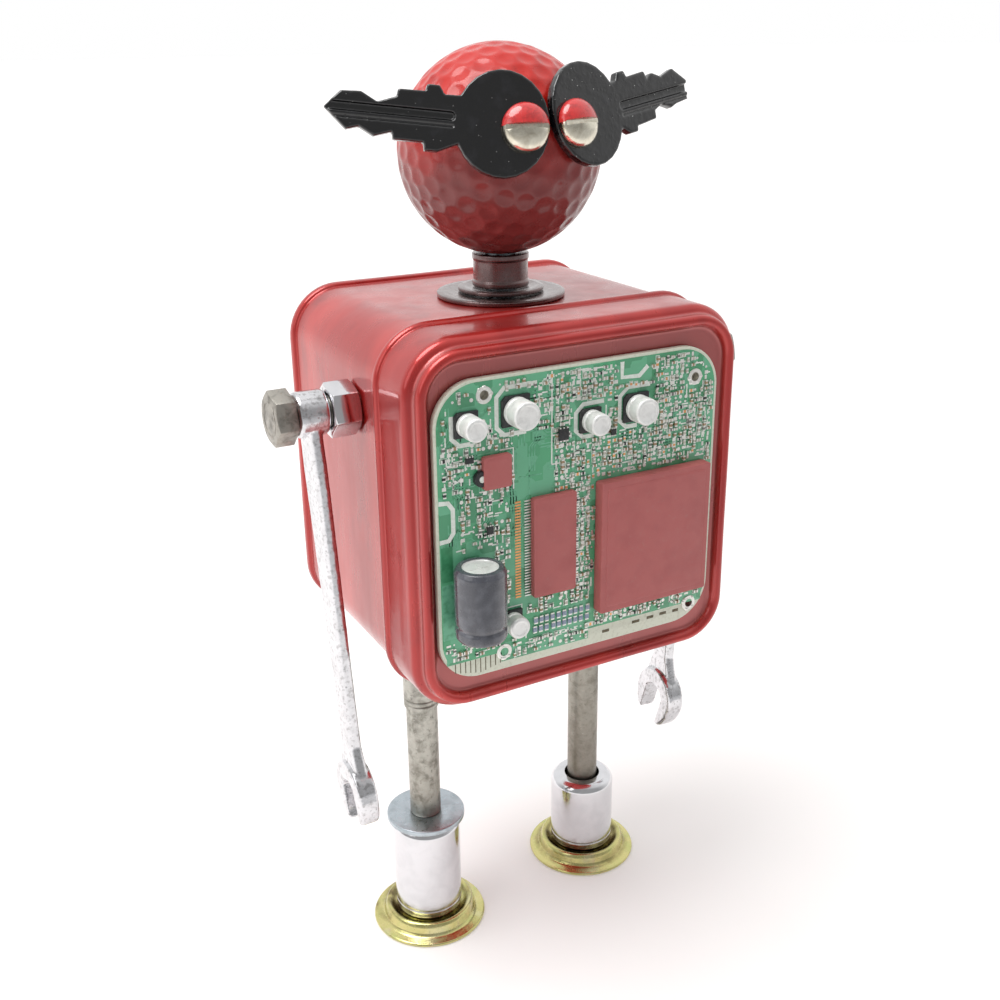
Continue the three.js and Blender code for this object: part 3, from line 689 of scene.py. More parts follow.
def leg_steel(colours):
    f = metal("leg_steel", colours.leg_steel, (0.2, 0.19, 0.16), (0.25, 0.55), 0.5, (1, 1, 0.3), 0.02, 2.6,
              0.85)
    f.blend(f.spread(f.noise(1.1, detail=6, rough=0.7), 0.58, 0.7, 0, 0.7), (0.1, 0.095, 0.08))
    f.blend(f.spread(f.noise(0.45, detail=4), 0.62, 0.72, 0, 0.6), (0.62, 0.61, 0.56))
    # Painted shade: the steel darkens towards +X, so the right leg reads as in shadow. The next line darkens
    # the tubes towards the bottom.
    f.blend(f.spread(f.along("X"), -5 * MM, 5 * MM, 0, 0.55), (0.26, 0.24, 0.2))
    f.blend(f.spread(f.along("Z"), 55 * MM, 25 * MM, 0, 0.5), (0.2, 0.17, 0.14))
    return f.material


def zinc(colours):
    f = metal("zinc", colours.zinc, (0.3, 0.35, 0.37), (0.22, 0.42), 0.4, relief=0.01, patch=3)
    return f.material


def yellow_zinc(colours):
    f = metal("yellow_zinc", colours.yellow_zinc, (0.5, 0.54, 0.2), (0.14, 0.32), 0.5, relief=0.012, patch=4,
              share=0.7)
    f.blend(f.spread(f.noise(2.5, detail=4), 0.6, 0.75, 0, 0.5), (0.6, 0.42, 0.3))
    f.blend(f.spread(f.noise(6, detail=2), 0.55, 0.75, 0, 0.5), (0.75, 0.72, 0.5))
    cup = middle("foot_cup_right") * MM
    across = f.times(f.times(f.along("X"), 0, "ABSOLUTE"), cup.x, "SUBTRACT")
    along = f.times(f.along("Y"), cup.y, "SUBTRACT")
    radius = f.times(f.times(f.times(across, across), f.times(along, along), "ADD"), 0.5, "POWER")
    # Painted shade: the zinc darkens in patches inside each cup's well round the socket and on the slope of
    # its rim, standing in for the shade of the cup's walls.
    patchy_shade = f.spread(f.noise(3, detail=5), 0.35, 0.6, 0.25, 1)
    f.blend(f.times(f.spread(radius, 10.6 * MM, 9.2 * MM, 0, 0.85), patchy_shade), (0.13, 0.085, 0.05))
    rim = f.times(f.spread(radius, 10.6 * MM, 11.6 * MM), f.spread(radius, 12.8 * MM, 11.8 * MM, 0, 0.7))
    f.blend(f.times(rim, patchy_shade), (0.2, 0.15, 0.06))
    return f.material


def solder_mask(colours):
    f = Finish("solder_mask", colours.board_green, roughness=0.35, coat=0.5, coat_roughness=0.15)
    pour = f.cells(3.2, distance="CHEBYCHEV", output="Color")
    shade = f.add("ShaderNodeSeparateColor")
    f.link(pour, shade.inputs[0])
    f.blend(f.spread(shade.outputs[0], 0.35, 0.4, 0, 0.6), colours.board_light)
    f.blend(f.spread(shade.outputs[1], 0.7, 0.75, 0, 0.55), colours.board_dark)
    weave = f.cells(0.28, stretch=(1, 1, 0.6), distance="CHEBYCHEV")
    f.bump(weave, 0.008, 0.5)
    f.bump(f.spread(shade.outputs[0], 0.35, 0.4), 0.03, 0.6)
    f.rough(f.noise(1.6, detail=4), 0.28, 0.5)
    return f.material


def bare_laminate(colours):
    f = Finish("bare_laminate", colours.laminate, roughness=0.6)
    f.blend(f.spread(f.noise(0.7, detail=4, stretch=(1, 3, 1)), 0.5, 0.75, 0, 0.5), (0.5, 0.5, 0.38))
    f.bump(f.noise(0.3, detail=4, stretch=(1, 4, 1)), 0.03, 0.6)
    return f.material


def plain(name, colour, shade, roughness, size=1.0, relief=0.01):
    """An everyday plastic, ceramic or ink: a little mottled, a little uneven."""
    f = Finish(name, colour, roughness=roughness)
    f.blend(f.spread(f.noise(size, detail=4), 0.45, 0.7, 0, 0.7), shade)
    f.rough(f.noise(size * 0.7, detail=4), 0.8 * roughness, min(1.25 * roughness, 1))
    f.bump(f.noise(size * 0.25, detail=3), relief, 0.6)
    return f.material


def chip_paint(colours):
    f = Finish("chip_paint", colours.chip_maroon, roughness=0.5)
    f.blend(f.spread(f.noise(6, detail=4), 0.45, 0.7, 0, 0.5), colours.chip_dark)
    f.blend(f.spread(f.noise(0.8, detail=5), 0.6, 0.75, 0, 0.35), (0.42, 0.18, 0.17))
    f.rough(f.noise(2.5, detail=4), 0.4, 0.62)
    f.bump(f.noise(2.4, detail=3), 0.05, 0.4)
    f.bump(f.noise(0.35, detail=4), 0.014, 0.6)
    return f.material


def sleeve_film(colours):
    f = Finish("sleeve_film", (0.06, 0.063, 0.078), roughness=0.2, coat=0.6, coat_roughness=0.08)
    f.blend(f.spread(f.noise(2.2, detail=4), 0.45, 0.7, 0, 0.6), (0.15, 0.155, 0.18))
    f.rough(f.noise(1.5, detail=5), 0.16, 0.36)
    f.bump(f.noise(1.8, detail=2, stretch=(1, 1, 0.4)), 0.05, 0.5)
    f.bump(f.noise(0.3, detail=3), 0.008, 0.5)
    return f.material


def can_skin(colours):
    f = metal("can_skin", colours.aluminium, (0.6, 0.6, 0.58), (0.3, 0.5), 0.3, relief=0.01, patch=1.6,
              share=0.5)
    f.set("Metallic", 0.3)
    return f.material


FINISH_MAKERS = {
    "candy_lacquer": candy_lacquer,
    "lid_lacquer": lid_lacquer,
    "ball_enamel": ball_enamel,
    "key_paint": key_paint,
    "eyelid_paint": eyelid_paint,
    "nickel": nickel,
    "neck_steel": neck_steel,
    "chrome": chrome,
    "forged_chrome": forged_chrome,
    "bolt_steel": bolt_steel,
    "leg_steel": leg_steel,
    "zinc": zinc,
    "yellow_zinc": yellow_zinc,
    "solder_mask": solder_mask,
    "bare_laminate": bare_laminate,
    "chip_paint": chip_paint,
    "sleeve_film": sleeve_film,
    "can_skin": can_skin,
    "tape_paper": lambda c: plain("tape_paper", (0.66, 0.62, 0.52), (0.5, 0.46, 0.38), 0.8),
    "silk_ink": lambda c: plain("silk_ink", (0.86, 0.9, 0.84), (0.68, 0.75, 0.66), 0.6, 0.5, 0.004),
    "buried_copper": lambda c: plain("buried_copper", c.board_light, c.board_dark, 0.35, 1.5, 0.004),
    "dark_mask": lambda c: plain("dark_mask", c.board_dark, c.board_green, 0.35, 2.0, 0.004),
    "burnt_laminate": lambda c: plain("burnt_laminate", (0.12, 0.1, 0.06), (0.25, 0.22, 0.14), 0.7, 0.5),
    "ceramic_blue": lambda c: plain("ceramic_blue", (0.26, 0.31, 0.42), (0.45, 0.5, 0.58), 0.4, 0.5),
    "ceramic_pale": lambda c: plain("ceramic_pale", (0.55, 0.53, 0.46), (0.42, 0.38, 0.3), 0.5, 0.5),
    "moulded_black": lambda c: plain("moulded_black", (0.018, 0.018, 0.02), (0.05, 0.05, 0.05), 0.4, 0.6),
    "ceramic_tan": lambda c: plain("ceramic_tan", (0.4, 0.28, 0.17), (0.26, 0.17, 0.1), 0.5, 0.5),
    "ceramic_grey": lambda c: plain("ceramic_grey", (0.16, 0.16, 0.15), (0.32, 0.31, 0.28), 0.5, 0.5),
    "bare_copper": lambda c: metal("bare_copper", (0.85, 0.42, 0.18), (0.6, 0.26, 0.1), (0.25, 0.45),
                                   0.3).material,
    "solder": lambda c: metal("solder", (0.84, 0.83, 0.79), (0.66, 0.64, 0.6), (0.3, 0.5), 0.3).material,
}


# ---- what a user may change ----


def colour_property(name, description, value):
    return bpy.props.FloatVectorProperty(
        name=name, description=description, default=value, size=3, min=0, max=1, subtype="COLOR"
    )


class RobotColours(bpy.types.PropertyGroup):
    """Colours of the robot's finishes."""

    lacquer: colour_property("Lacquer", "Candy red on the tin", (0.39, 0.016, 0.014))
    lacquer_light: colour_property("Light lacquer", "Where the lacquer is thin", (0.52, 0.03, 0.024))
    lacquer_dark: colour_property("Dark lacquer", "Where the lacquer has pooled", (0.17, 0.012, 0.014))
    dusty_lacquer: colour_property("Dusty lacquer", "The lid's recessed panel", (0.42, 0.12, 0.115))
    enamel: colour_property("Enamel", "Red on the ball", (0.5, 0.014, 0.008))
    # Painted shade: the darker red under the ball stands in for the shade on its lower half.
    enamel_painted_shade: colour_property("Dark enamel", "Red under the ball, where the spray is thin",
                                 (0.18, 0.048, 0.046))
    eyelid: colour_property("Eyelid", "Red on the upper half of each eye", (0.62, 0.03, 0.03))
    key_black: colour_property("Key black", "Paint on the keys", (0.003, 0.003, 0.0035))
    nickel: colour_property("Nickel", "Bright plating of the eye screws", (0.78, 0.74, 0.62))
    gunmetal: colour_property("Gunmetal", "Dark steel of the neck", (0.17, 0.12, 0.118))
    chrome: colour_property("Chrome", "Spanners, nuts and sockets", (0.74, 0.74, 0.76))
    bolt_steel: colour_property("Bolt steel", "Bare hexagon heads", (0.4, 0.38, 0.34))
    leg_steel: colour_property("Leg steel", "Mottled tubes", (0.5, 0.49, 0.44))
    zinc: colour_property("Zinc", "Blue-white plated washers", (0.5, 0.56, 0.6))
    yellow_zinc: colour_property("Yellow zinc", "Cup washers underfoot", (0.66, 0.6, 0.26))
    board_green: colour_property("Board green", "Solder mask over bare laminate", (0.09, 0.41, 0.2))
    board_light: colour_property("Light board green", "Solder mask over copper", (0.17, 0.5, 0.31))
    board_dark: colour_property("Dark board green", "Solder mask between pours", (0.04, 0.24, 0.105))
    laminate: colour_property("Laminate", "Bare glass-fibre edge", (0.74, 0.76, 0.64))
    chip_maroon: colour_property("Chip maroon", "Paint over the chips", (0.47, 0.125, 0.12))
    chip_dark: colour_property("Dark chip maroon", "Thin paint over the chips", (0.37, 0.09, 0.088))
    aluminium: colour_property("Aluminium", "Capacitor cans", (0.9, 0.9, 0.88))


def length_property(name, description, value):
    return bpy.props.FloatProperty(
        name=name, description=description, default=value, min=0, subtype="DISTANCE", unit="LENGTH"
    )


class RobotSizes(bpy.types.PropertyGroup):
    """Sizes that the CAD frame doesn't settle."""

    dimple_radius: length_property("Dimple radius", "Half the width of one dimple", 1.95 * MM)
    dimple_depth: length_property("Dimple depth", "Depth of one dimple's middle", 0.3 * MM)
    tin_ripple: length_property("Tin ripple", "How uneven the tin's flat sides are", 0.09 * MM)
    ink_width: length_property("Ink line width", "Width of the board's printed lines", 0.32 * MM)
    trace_width: length_property("Track width", "Width of the board's copper tracks", 0.26 * MM)


class RobotStage(bpy.types.PropertyGroup):
    """Floor, light and camera."""

    floor_colour: colour_property("Floor", "Plain pale floor", (0.84, 0.82, 0.81))
    floor_shade: colour_property("Floor's front", "The floor where it is out of the light", (0.5, 0.5, 0.505))
    pale_front: length_property("Pale front", "How far in front of the robot the floor stays pale", 0.15)
    pale_fade: length_property("Fade", "Over what length the floor darkens", 0.12)
    floor_glow: bpy.props.FloatProperty(
        name="Floor glow", description="How far the floor is lit from below", default=0.2, min=0
    )
    key_power: bpy.props.FloatProperty(
        name="Key light", description="Power of the large overhead light", default=3.7, min=0, unit="POWER"
    )
    fill_power: bpy.props.FloatProperty(
        name="Fill light", description="Power of the light on the left", default=0.8, min=0, unit="POWER"
    )
    room_bright: bpy.props.FloatProperty(
        name="Bright side", description="Strength of the room behind the robot", default=1.0, min=0
    )
    room_dark: bpy.props.FloatProperty(
        name="Dark side", description="Strength of the room in front of the robot", default=0.38, min=0
    )
    lens: bpy.props.FloatProperty(
        name="Lens", description="Focal length of the camera", default=43.589, min=1, unit="CAMERA"
    )


# ---- the pieces ----


def ball_points():
    """Dimple centres: an icosahedron's faces cut into a fine triangle net and pushed out to the ball."""
    seed = bmesh.new()
    bmesh.ops.create_icosphere(seed, subdivisions=1, radius=1)
    found = {}
    steps = 6
    for face in seed.faces:
        a, b, c = (v.co.copy() for v in face.verts)
        for i in range(steps + 1):
            for j in range(steps + 1 - i):
                p = (a * i + b * j + c * (steps - i - j)).normalized()
                found[tuple(round(v, 3) for v in p)] = p
    seed.free()
    tilt = Matrix.Rotation(0.5, 4, (0.6, 0.3, 0.7))
    mesh = bpy.data.meshes.new("dimple_centres")
    mesh.from_pydata([tilt @ (p * BALL_RADIUS) for p in found.values()], [], [])
    return mesh


# How far each eye looks outwards and the whole head is turned, in degrees.
EYE_AZIMUTH, HEAD_YAW = 14.2, -1.6
# The dome of an eye above its seat, its straight rim, and the slot's half width and depth.
EYE_DOME, EYE_RIM, SLOT_HALF, SLOT_DEPTH = 3.3, 0.7, 0.5, 1.5
# How far each eye looks up, and how far its key is lifted about its screw, in degrees.
EYE_TILT = {"left": 14.4, "right": 15.2}
KEY_LIFT = {"left": 6.9, "right": 8.0}


def eye_matrix(name, raise_by=0.0):
    """A frame at the ball's middle: x runs outwards along the key, z looks along the eye."""
    side = SIDES[name]
    azimuth, elevation = math.radians(EYE_AZIMUTH) * side, math.radians(EYE_TILT[name])
    yaw = math.radians(HEAD_YAW)
    look = Vector(
        (math.sin(azimuth) * math.cos(elevation), -math.cos(azimuth) * math.cos(elevation),
         math.sin(elevation))
    )
    level = Vector((math.cos(azimuth), math.sin(azimuth), 0)) * side
    along = Matrix.Rotation(math.radians(raise_by) * side, 3, look) @ level
    across = look.cross(along)
    basis = Matrix((along, across, look)).transposed().to_4x4()
    return Matrix.Translation(BALL_CENTRE) @ Matrix.Rotation(yaw, 4, "Z") @ basis


class ROBOT_OT_ball(bpy.types.Operator):
    """Make the dimpled ball of the head"""

    bl_idname = "robot.make_ball"
    bl_label = "Ball"

    def execute(self, context):
        sizes = context.scene.robot_sizes
        material = finish_for("ball_enamel")
        mesh = dimple_recipe().grow(
            ball_points(),
            material,
            Dimple_Radius=sizes.dimple_radius / MM,
            Dimple_Depth=sizes.dimple_depth / MM,
        )
        place = Matrix.Translation(BALL_CENTRE)
        piece("ball", mesh, place, "head", [material], ["head_ball"], sharp=180)
        return {"FINISHED"}


def key_groove(length, start, end, across, half, face):
    """A rounded channel along the key's blade, as a cutter."""
    outline = soften([(start, across - half), (end, across - half), (end, across + half),
                      (start, across + half)],
                     half, 3, True)
    return sheet([outline], face - length, face + 1)


class ROBOT_OT_keys(bpy.types.Operator):
    """Make the two painted door keys"""

    bl_idname = "robot.make_keys"
    bl_label = "Keys"

    def execute(self, context):
        for name, side in SIDES.items():
            node = f"key_{name}"
            frame_of_key = eye_matrix(name, KEY_LIFT[name])
            mesh = copy_of(node)
            mesh.transform(frame_of_key.inverted())
            top = max(v.co.z for v in mesh.vertices)
            tip = max(v.co.x for v in mesh.vertices)
            for across, half, depth in ((0.9, 0.8, 0.7), (-0.9, 0.3, 0.4)):
                groove = key_groove(depth, 13.5, tip + 3, side * across, half, top)
                mesh = combined(mesh, groove, "DIFFERENCE")
            mesh = worked(
                mesh,
                ("REMESH", {"mode": "VOXEL", "voxel_size": 0.2}),
                ("SMOOTH", {"factor": 0.5, "iterations": 8}),
            )
            piece(node + "_painted", mesh, frame_of_key, "head", [finish_for("key_paint")], [node],
                  60)
        return {"FINISHED"}


class ROBOT_OT_eyes(bpy.types.Operator):
    """Make the slotted dome screws of the eyes"""

    bl_idname = "robot.make_eyes"
    bl_label = "Eyes"

    def execute(self, context):
        for name, side in SIDES.items():
            node = f"eye_screw_{name}"
            place = eye_matrix(name)
            cad = copy_of(node)
            cad.transform(place.inverted())
            top = max(v.co.z for v in cad.vertices)
            seat = top - EYE_DOME
            radius = max(v.co.x for v in cad.vertices)
            dome = [(0, seat - 12), (1.8, seat - 12), (1.8, seat), (radius - 0.15, seat),
                    (radius, seat + 0.3)]
            steps = 18
            for i in range(steps + 1):
                angle = math.radians(90 * i / steps)
                dome.append((radius * math.cos(angle),
                             seat + EYE_RIM + (EYE_DOME - EYE_RIM) * math.sin(angle)))
            mesh = turned([*dome[:-1], (0, top)], 96)
            slot = block(-radius - 1, radius + 1, -SLOT_HALF, SLOT_HALF, top - SLOT_DEPTH, top + 1, 0.05)
            mesh = combined(mesh, slot, "DIFFERENCE")
            mesh = worked(mesh, ("BEVEL", {"width": 0.08, "segments": 2, "angle_limit": math.radians(50)}))
            for polygon in mesh.polygons:
                painted = polygon.center.y * side > 0.35 and polygon.center.z > seat
                polygon.material_index = 1 if painted else 0
            materials = [finish_for("nickel"), finish_for("eyelid_paint")]
            piece(node + "_domed", mesh, place, "head", materials, [node], 40)
        return {"FINISHED"}


class ROBOT_OT_neck(bpy.types.Operator):
    """Make the neck's barrel and washers"""

    bl_idname = "robot.make_neck"
    bl_label = "Neck"

    def execute(self, context):
        steel, bore = [finish_for("neck_steel")], 3.4
        for node in ("neck_washer_large", "neck_washer_small"):
            radius, thick = extent(node).x / 2, extent(node).z
            dish = 0.3
            profile = [(bore, 0), (radius - 1, 0), (radius, 0.1), (radius, thick - 0.1),
                       (radius - 1.2, thick), (bore + 3, thick - dish), (bore, thick - dish)]
            place = standing(node)
            mesh = turned(soften(profile, 0.25, closed=True), 96, closed=True)
            piece(node + "_turned", mesh, place, "torso", steel, [node])
        node = "neck_spacer"
        radius, height = extent(node).x / 2, extent(node).z
        groove = 0.22
        profile = [(bore, 0), (radius, 0), (radius, 1.1), (radius - groove, 1.4),
                   (radius - groove, height - 1.4), (radius, height - 1.1), (radius, height), (bore, height)]
        place = standing(node)
        mesh = turned(soften(profile, 0.25, closed=True), 96, closed=True)
        piece(node + "_turned", mesh, place, "torso", steel, [node])
        return {"FINISHED"}


def tin_ring(offset, y):
    """A ring round the tin's rounded square at one depth, inside or outside the sleeve's skin."""
    centre = middle("tin_back")
    half = extent("tin_back") / 2 + Vector((0.45, 0, 0.45))
    corner = max(10.8 + offset, 0.5)
    arc = rounded_box(half.x + offset, half.z + offset, corner, CORNER_STEPS)
    points = []
    for i, here in enumerate(arc):
        points.append(here)
        if i % (CORNER_STEPS + 1) == CORNER_STEPS:
            there = arc[(i + 1) % len(arc)]
            for k in range(1, SIDE_STEPS):
                t = k / SIDE_STEPS
                points.append((here[0] * (1 - t) + there[0] * t, here[1] * (1 - t) + there[1] * t))
    return [Vector((centre.x + x, y, centre.z + z)) for x, z in points]


def filled(profile, spacing):
    """Profile points with more between where an edge is longer than the spacing."""
    result = []
    for here, there in zip(profile, [*profile[1:], profile[0]]):
        here, there = Vector(here), Vector(there)
        count = max(1, int((there - here).length / spacing))
        result += [here.lerp(there, k / count) for k in range(count)]
    return result


def rippled(mesh, height, size):
    """Moves each vertex a little along its normal, by smooth noise."""
    normals = [v.normal.copy() for v in mesh.vertices]
    for vertex, normal in zip(mesh.vertices, normals):
        vertex.co += normal * height * noise.noise(vertex.co / size)
    return mesh


class ROBOT_OT_tin(bpy.types.Operator):
    """Make the tin's sleeve and back"""

    bl_idname = "robot.make_tin"
    bl_label = "Tin"

    def execute(self, context):
        ripple = context.scene.robot_sizes.tin_ripple / MM
        rear, mouth, wall, bead = high("tin_body").y, low("tin_body").y, 0.4, 0.85
        sleeve = [
            (0, mouth), (0, rear - 2.7), (0.15, rear - 2.5), (bead * 0.8, rear - 2.15), (bead, rear - 1.5),
            (bead, rear - 0.7), (bead * 0.7, rear - 0.15), (0.2, rear), (-wall, rear), (-wall, mouth),
        ]
        path = filled(soften(sleeve, 0.35, 3, True), 4)
        mesh = skin([tin_ring(offset, y) for offset, y in path], True)
        red = [finish_for("candy_lacquer")]
        piece("tin_sleeve", rippled(mesh, ripple, 17), Matrix(), "torso", red, ["tin_body"],
              50)

        back_low, back_high = low("tin_back").y, high("tin_back").y
        panel = back_low + wall
        tray = [
            (-0.45, back_low), (-0.45, back_high), (-0.45 - wall, back_high), (-1.1, panel + 0.4),
            (-1.6, panel), (-8, panel - 0.1), (-20, panel + 0.25), (-36, panel + 0.4),
        ]
        inside = [(-36, panel + 0.4 - wall), (-20, panel + 0.25 - wall), (-8, back_low), (-1.6, back_low)]
        rings = [tin_ring(offset, y) for offset, y in soften([*inside, *tray], 0.3, 2)]
        centre = middle("tin_back")
        rings.insert(0, [Vector((centre.x, panel + 0.4 - wall, centre.z))])
        rings.append([Vector((centre.x, panel + 0.4, centre.z))])
        piece("tin_back_panel", skin(rings, False), Matrix(), "torso", red, ["tin_back"], 50)
        return {"FINISHED"}


class ROBOT_OT_lid(bpy.types.Operator):
    """Make the tin's slip lid, with its curled edge, bead and panel"""

    bl_idname = "robot.make_lid"
    bl_label = "Lid"

    def execute(self, context):
        rear, front, wall, slip = high("tin_lid").y, low("tin_lid").y, 0.4, 0.25
        band = rear - 12.3
        panel = rear - LID_PANEL
        crest = rear - 16.4
        inside = [
            (-20, panel + wall), (-3.5, panel + wall), (-3.1, crest + 1), (-2.2, crest + wall),
            (-1.6, crest + 1.2), (-1.6, panel + wall), (-0.5, band - 0.9), (slip, band + 0.2),
            (slip, rear - 0.1),
        ]
        outside = [
            (slip + 0.4, rear), (slip + 0.9, rear - 0.1), (slip + 1.12, rear - 0.6),
            (slip + 1.12, rear - 1.4), (slip + 0.85, rear - 1.9), (slip + wall, rear - 2.2),
            (slip + wall, band + 0.4), (slip + wall - 0.15, band - 0.5), (-0.1, band - 1.2),
            (-0.9, band - 1.6), (-1.15, panel), (-1.15, crest + 0.9), (-1.5, crest + 0.25), (-2.2, front),
            (-2.9, crest + 0.2), (-3.4, crest + 0.9), (-3.75, panel - 0.2), (-4.3, panel), (-20, panel),
        ]
        smooth = soften([*inside, *outside], 0.45, 3)
        path = []
        for here, there in zip(smooth, smooth[1:]):
            count = max(1, int((there - here).length / 3.5))
            path += [here.lerp(there, k / count) for k in range(count)]
        rings = [tin_ring(offset, y) for offset, y in [*path, smooth[-1]]]
        centre = middle("tin_back")
        rings.insert(0, [Vector((centre.x, panel + wall, centre.z))])
        rings.append([Vector((centre.x, panel, centre.z))])
        mesh = skin(rings, False)
        ripple = context.scene.robot_sizes.tin_ripple / MM
        red = [finish_for("lid_lacquer")]
        piece("tin_lid_formed", rippled(mesh, 0.7 * ripple, 15), Matrix(), "lid", red, ["tin_lid"],
              50)
        return {"FINISHED"}


# On the board's own plane, x across and y up, in millimetres.
BOARD_HOLES = [(-23.1, 143.4), (26.3, 140.0), (-19.4, 88.0), (27.4, 87.8)]
BOARD_X, TRACKS, FINE_LINES, STRAND_PITCH = (-33, 31), 190, 360, 0.62
BOARD_CORNER, HOLE_RADIUS, HOLE_CLEARANCE = 9.0, 1.25, 2.2
# How deep the solder mask reaches into the board's front.
MASK_DEPTH = 0.12
# Left, right, bottom and top of patches that are kept bare, each for one feature.
PLAIN_GREEN = (-16.6, -8.7, 121.6, 133.4)
PIN_ROWS = (-17.6, -13.6, 98.5, 121.9)
PAD_ROWS = (-13.0, 2.0, 90.2, 94.4)
PALE_PATCH = (-33.1, -30.4, 93.8, 106.0)
DARK_PATCH = (-33.1, -30.6, 106.6, 114.0)
INKED_PATCHES = [(-33.4, -29.7, 114.6, 124.0), (7.3, 14.8, 141.5, 146.6), (-27.0, -21.4, 145.2, 147.0)]
ROUND_PART = (-24.3, 127.0)
# The top of the bare strip along the board's lower edge, as steps of (x, y).
BARE_STEPS = [(33.0, 88.0), (1.0, 88.0), (1.0, 85.8), (-20.0, 85.8), (-20.0, 88.0), (-34.0, 88.0)]


@functools.cache
def board_box(node):
    a, b = low(node), high(node)
    return a.x, b.x, a.z, b.z


def on_board(x, y, margin=1.0):
    """Whether a point lies inside the board's rounded outline, clear of its edge and its bare strip."""
    x0, x1, y0, y1 = board_box("circuit_board")
    corner = BOARD_CORNER
    floor = 88.4 if x > 0.6 or x < -19.6 else 86.2
    if not (x0 + margin < x < x1 - margin and max(y0 + margin, floor) < y < y1 - margin):
        return False
    near_x = min(max(x, x0 + corner), x1 - corner)
    near_y = min(max(y, y0 + corner), y1 - corner)
    return math.hypot(x - near_x, y - near_y) < corner - margin


def board_keep_out(margin):
    nodes = ["chip_large", "chip_medium", "chip_small", "bulk_capacitor_sleeve"]
    nodes += [f"capacitor_base_{i}" for i in range(1, 6)]
    boxes = [board_box(node) for node in nodes]
    boxes += [(x0 - 0.8, x1 + 0.8, y0 - 0.8, y1 + 0.8) for x0, x1, y0, y1 in boxes[4:]]
    boxes += [*INKED_PATCHES, PLAIN_GREEN, PIN_ROWS, PAD_ROWS, PALE_PATCH, DARK_PATCH]
    x, y = ROUND_PART
    boxes.append((x - 1.4, x + 1.4, y - 1.4, y + 1.4))
    return [(x0 - margin, x1 + margin, y0 - margin, y1 + margin) for x0, x1, y0, y1 in boxes]


def board_clear(x, y, half, boxes):
    if any(x0 - half < x < x1 + half and y0 - half < y < y1 + half for x0, x1, y0, y1 in boxes):
        return False
    clear = all(math.hypot(x - hx, y - hy) > HOLE_CLEARANCE + half for hx, hy in BOARD_HOLES)
    return clear and on_board(x, y, 1 + half)


def board_traffic(x, y):
    """How crowded the board is at a point, from 0 to 1, with its copper-coloured share."""
    if x > -7.5 and y > 121:
        return 0.93, 0.35 if abs(x - 6) < 5 and y < 132 else 0.08
    if x > -4:
        return 0.9, 0.05
    if x < -17 and 112 < y < 124:
        return 0.62, 0.0
    if y < 99:
        return 0.75, 0.02
    return 0.7, 0.05


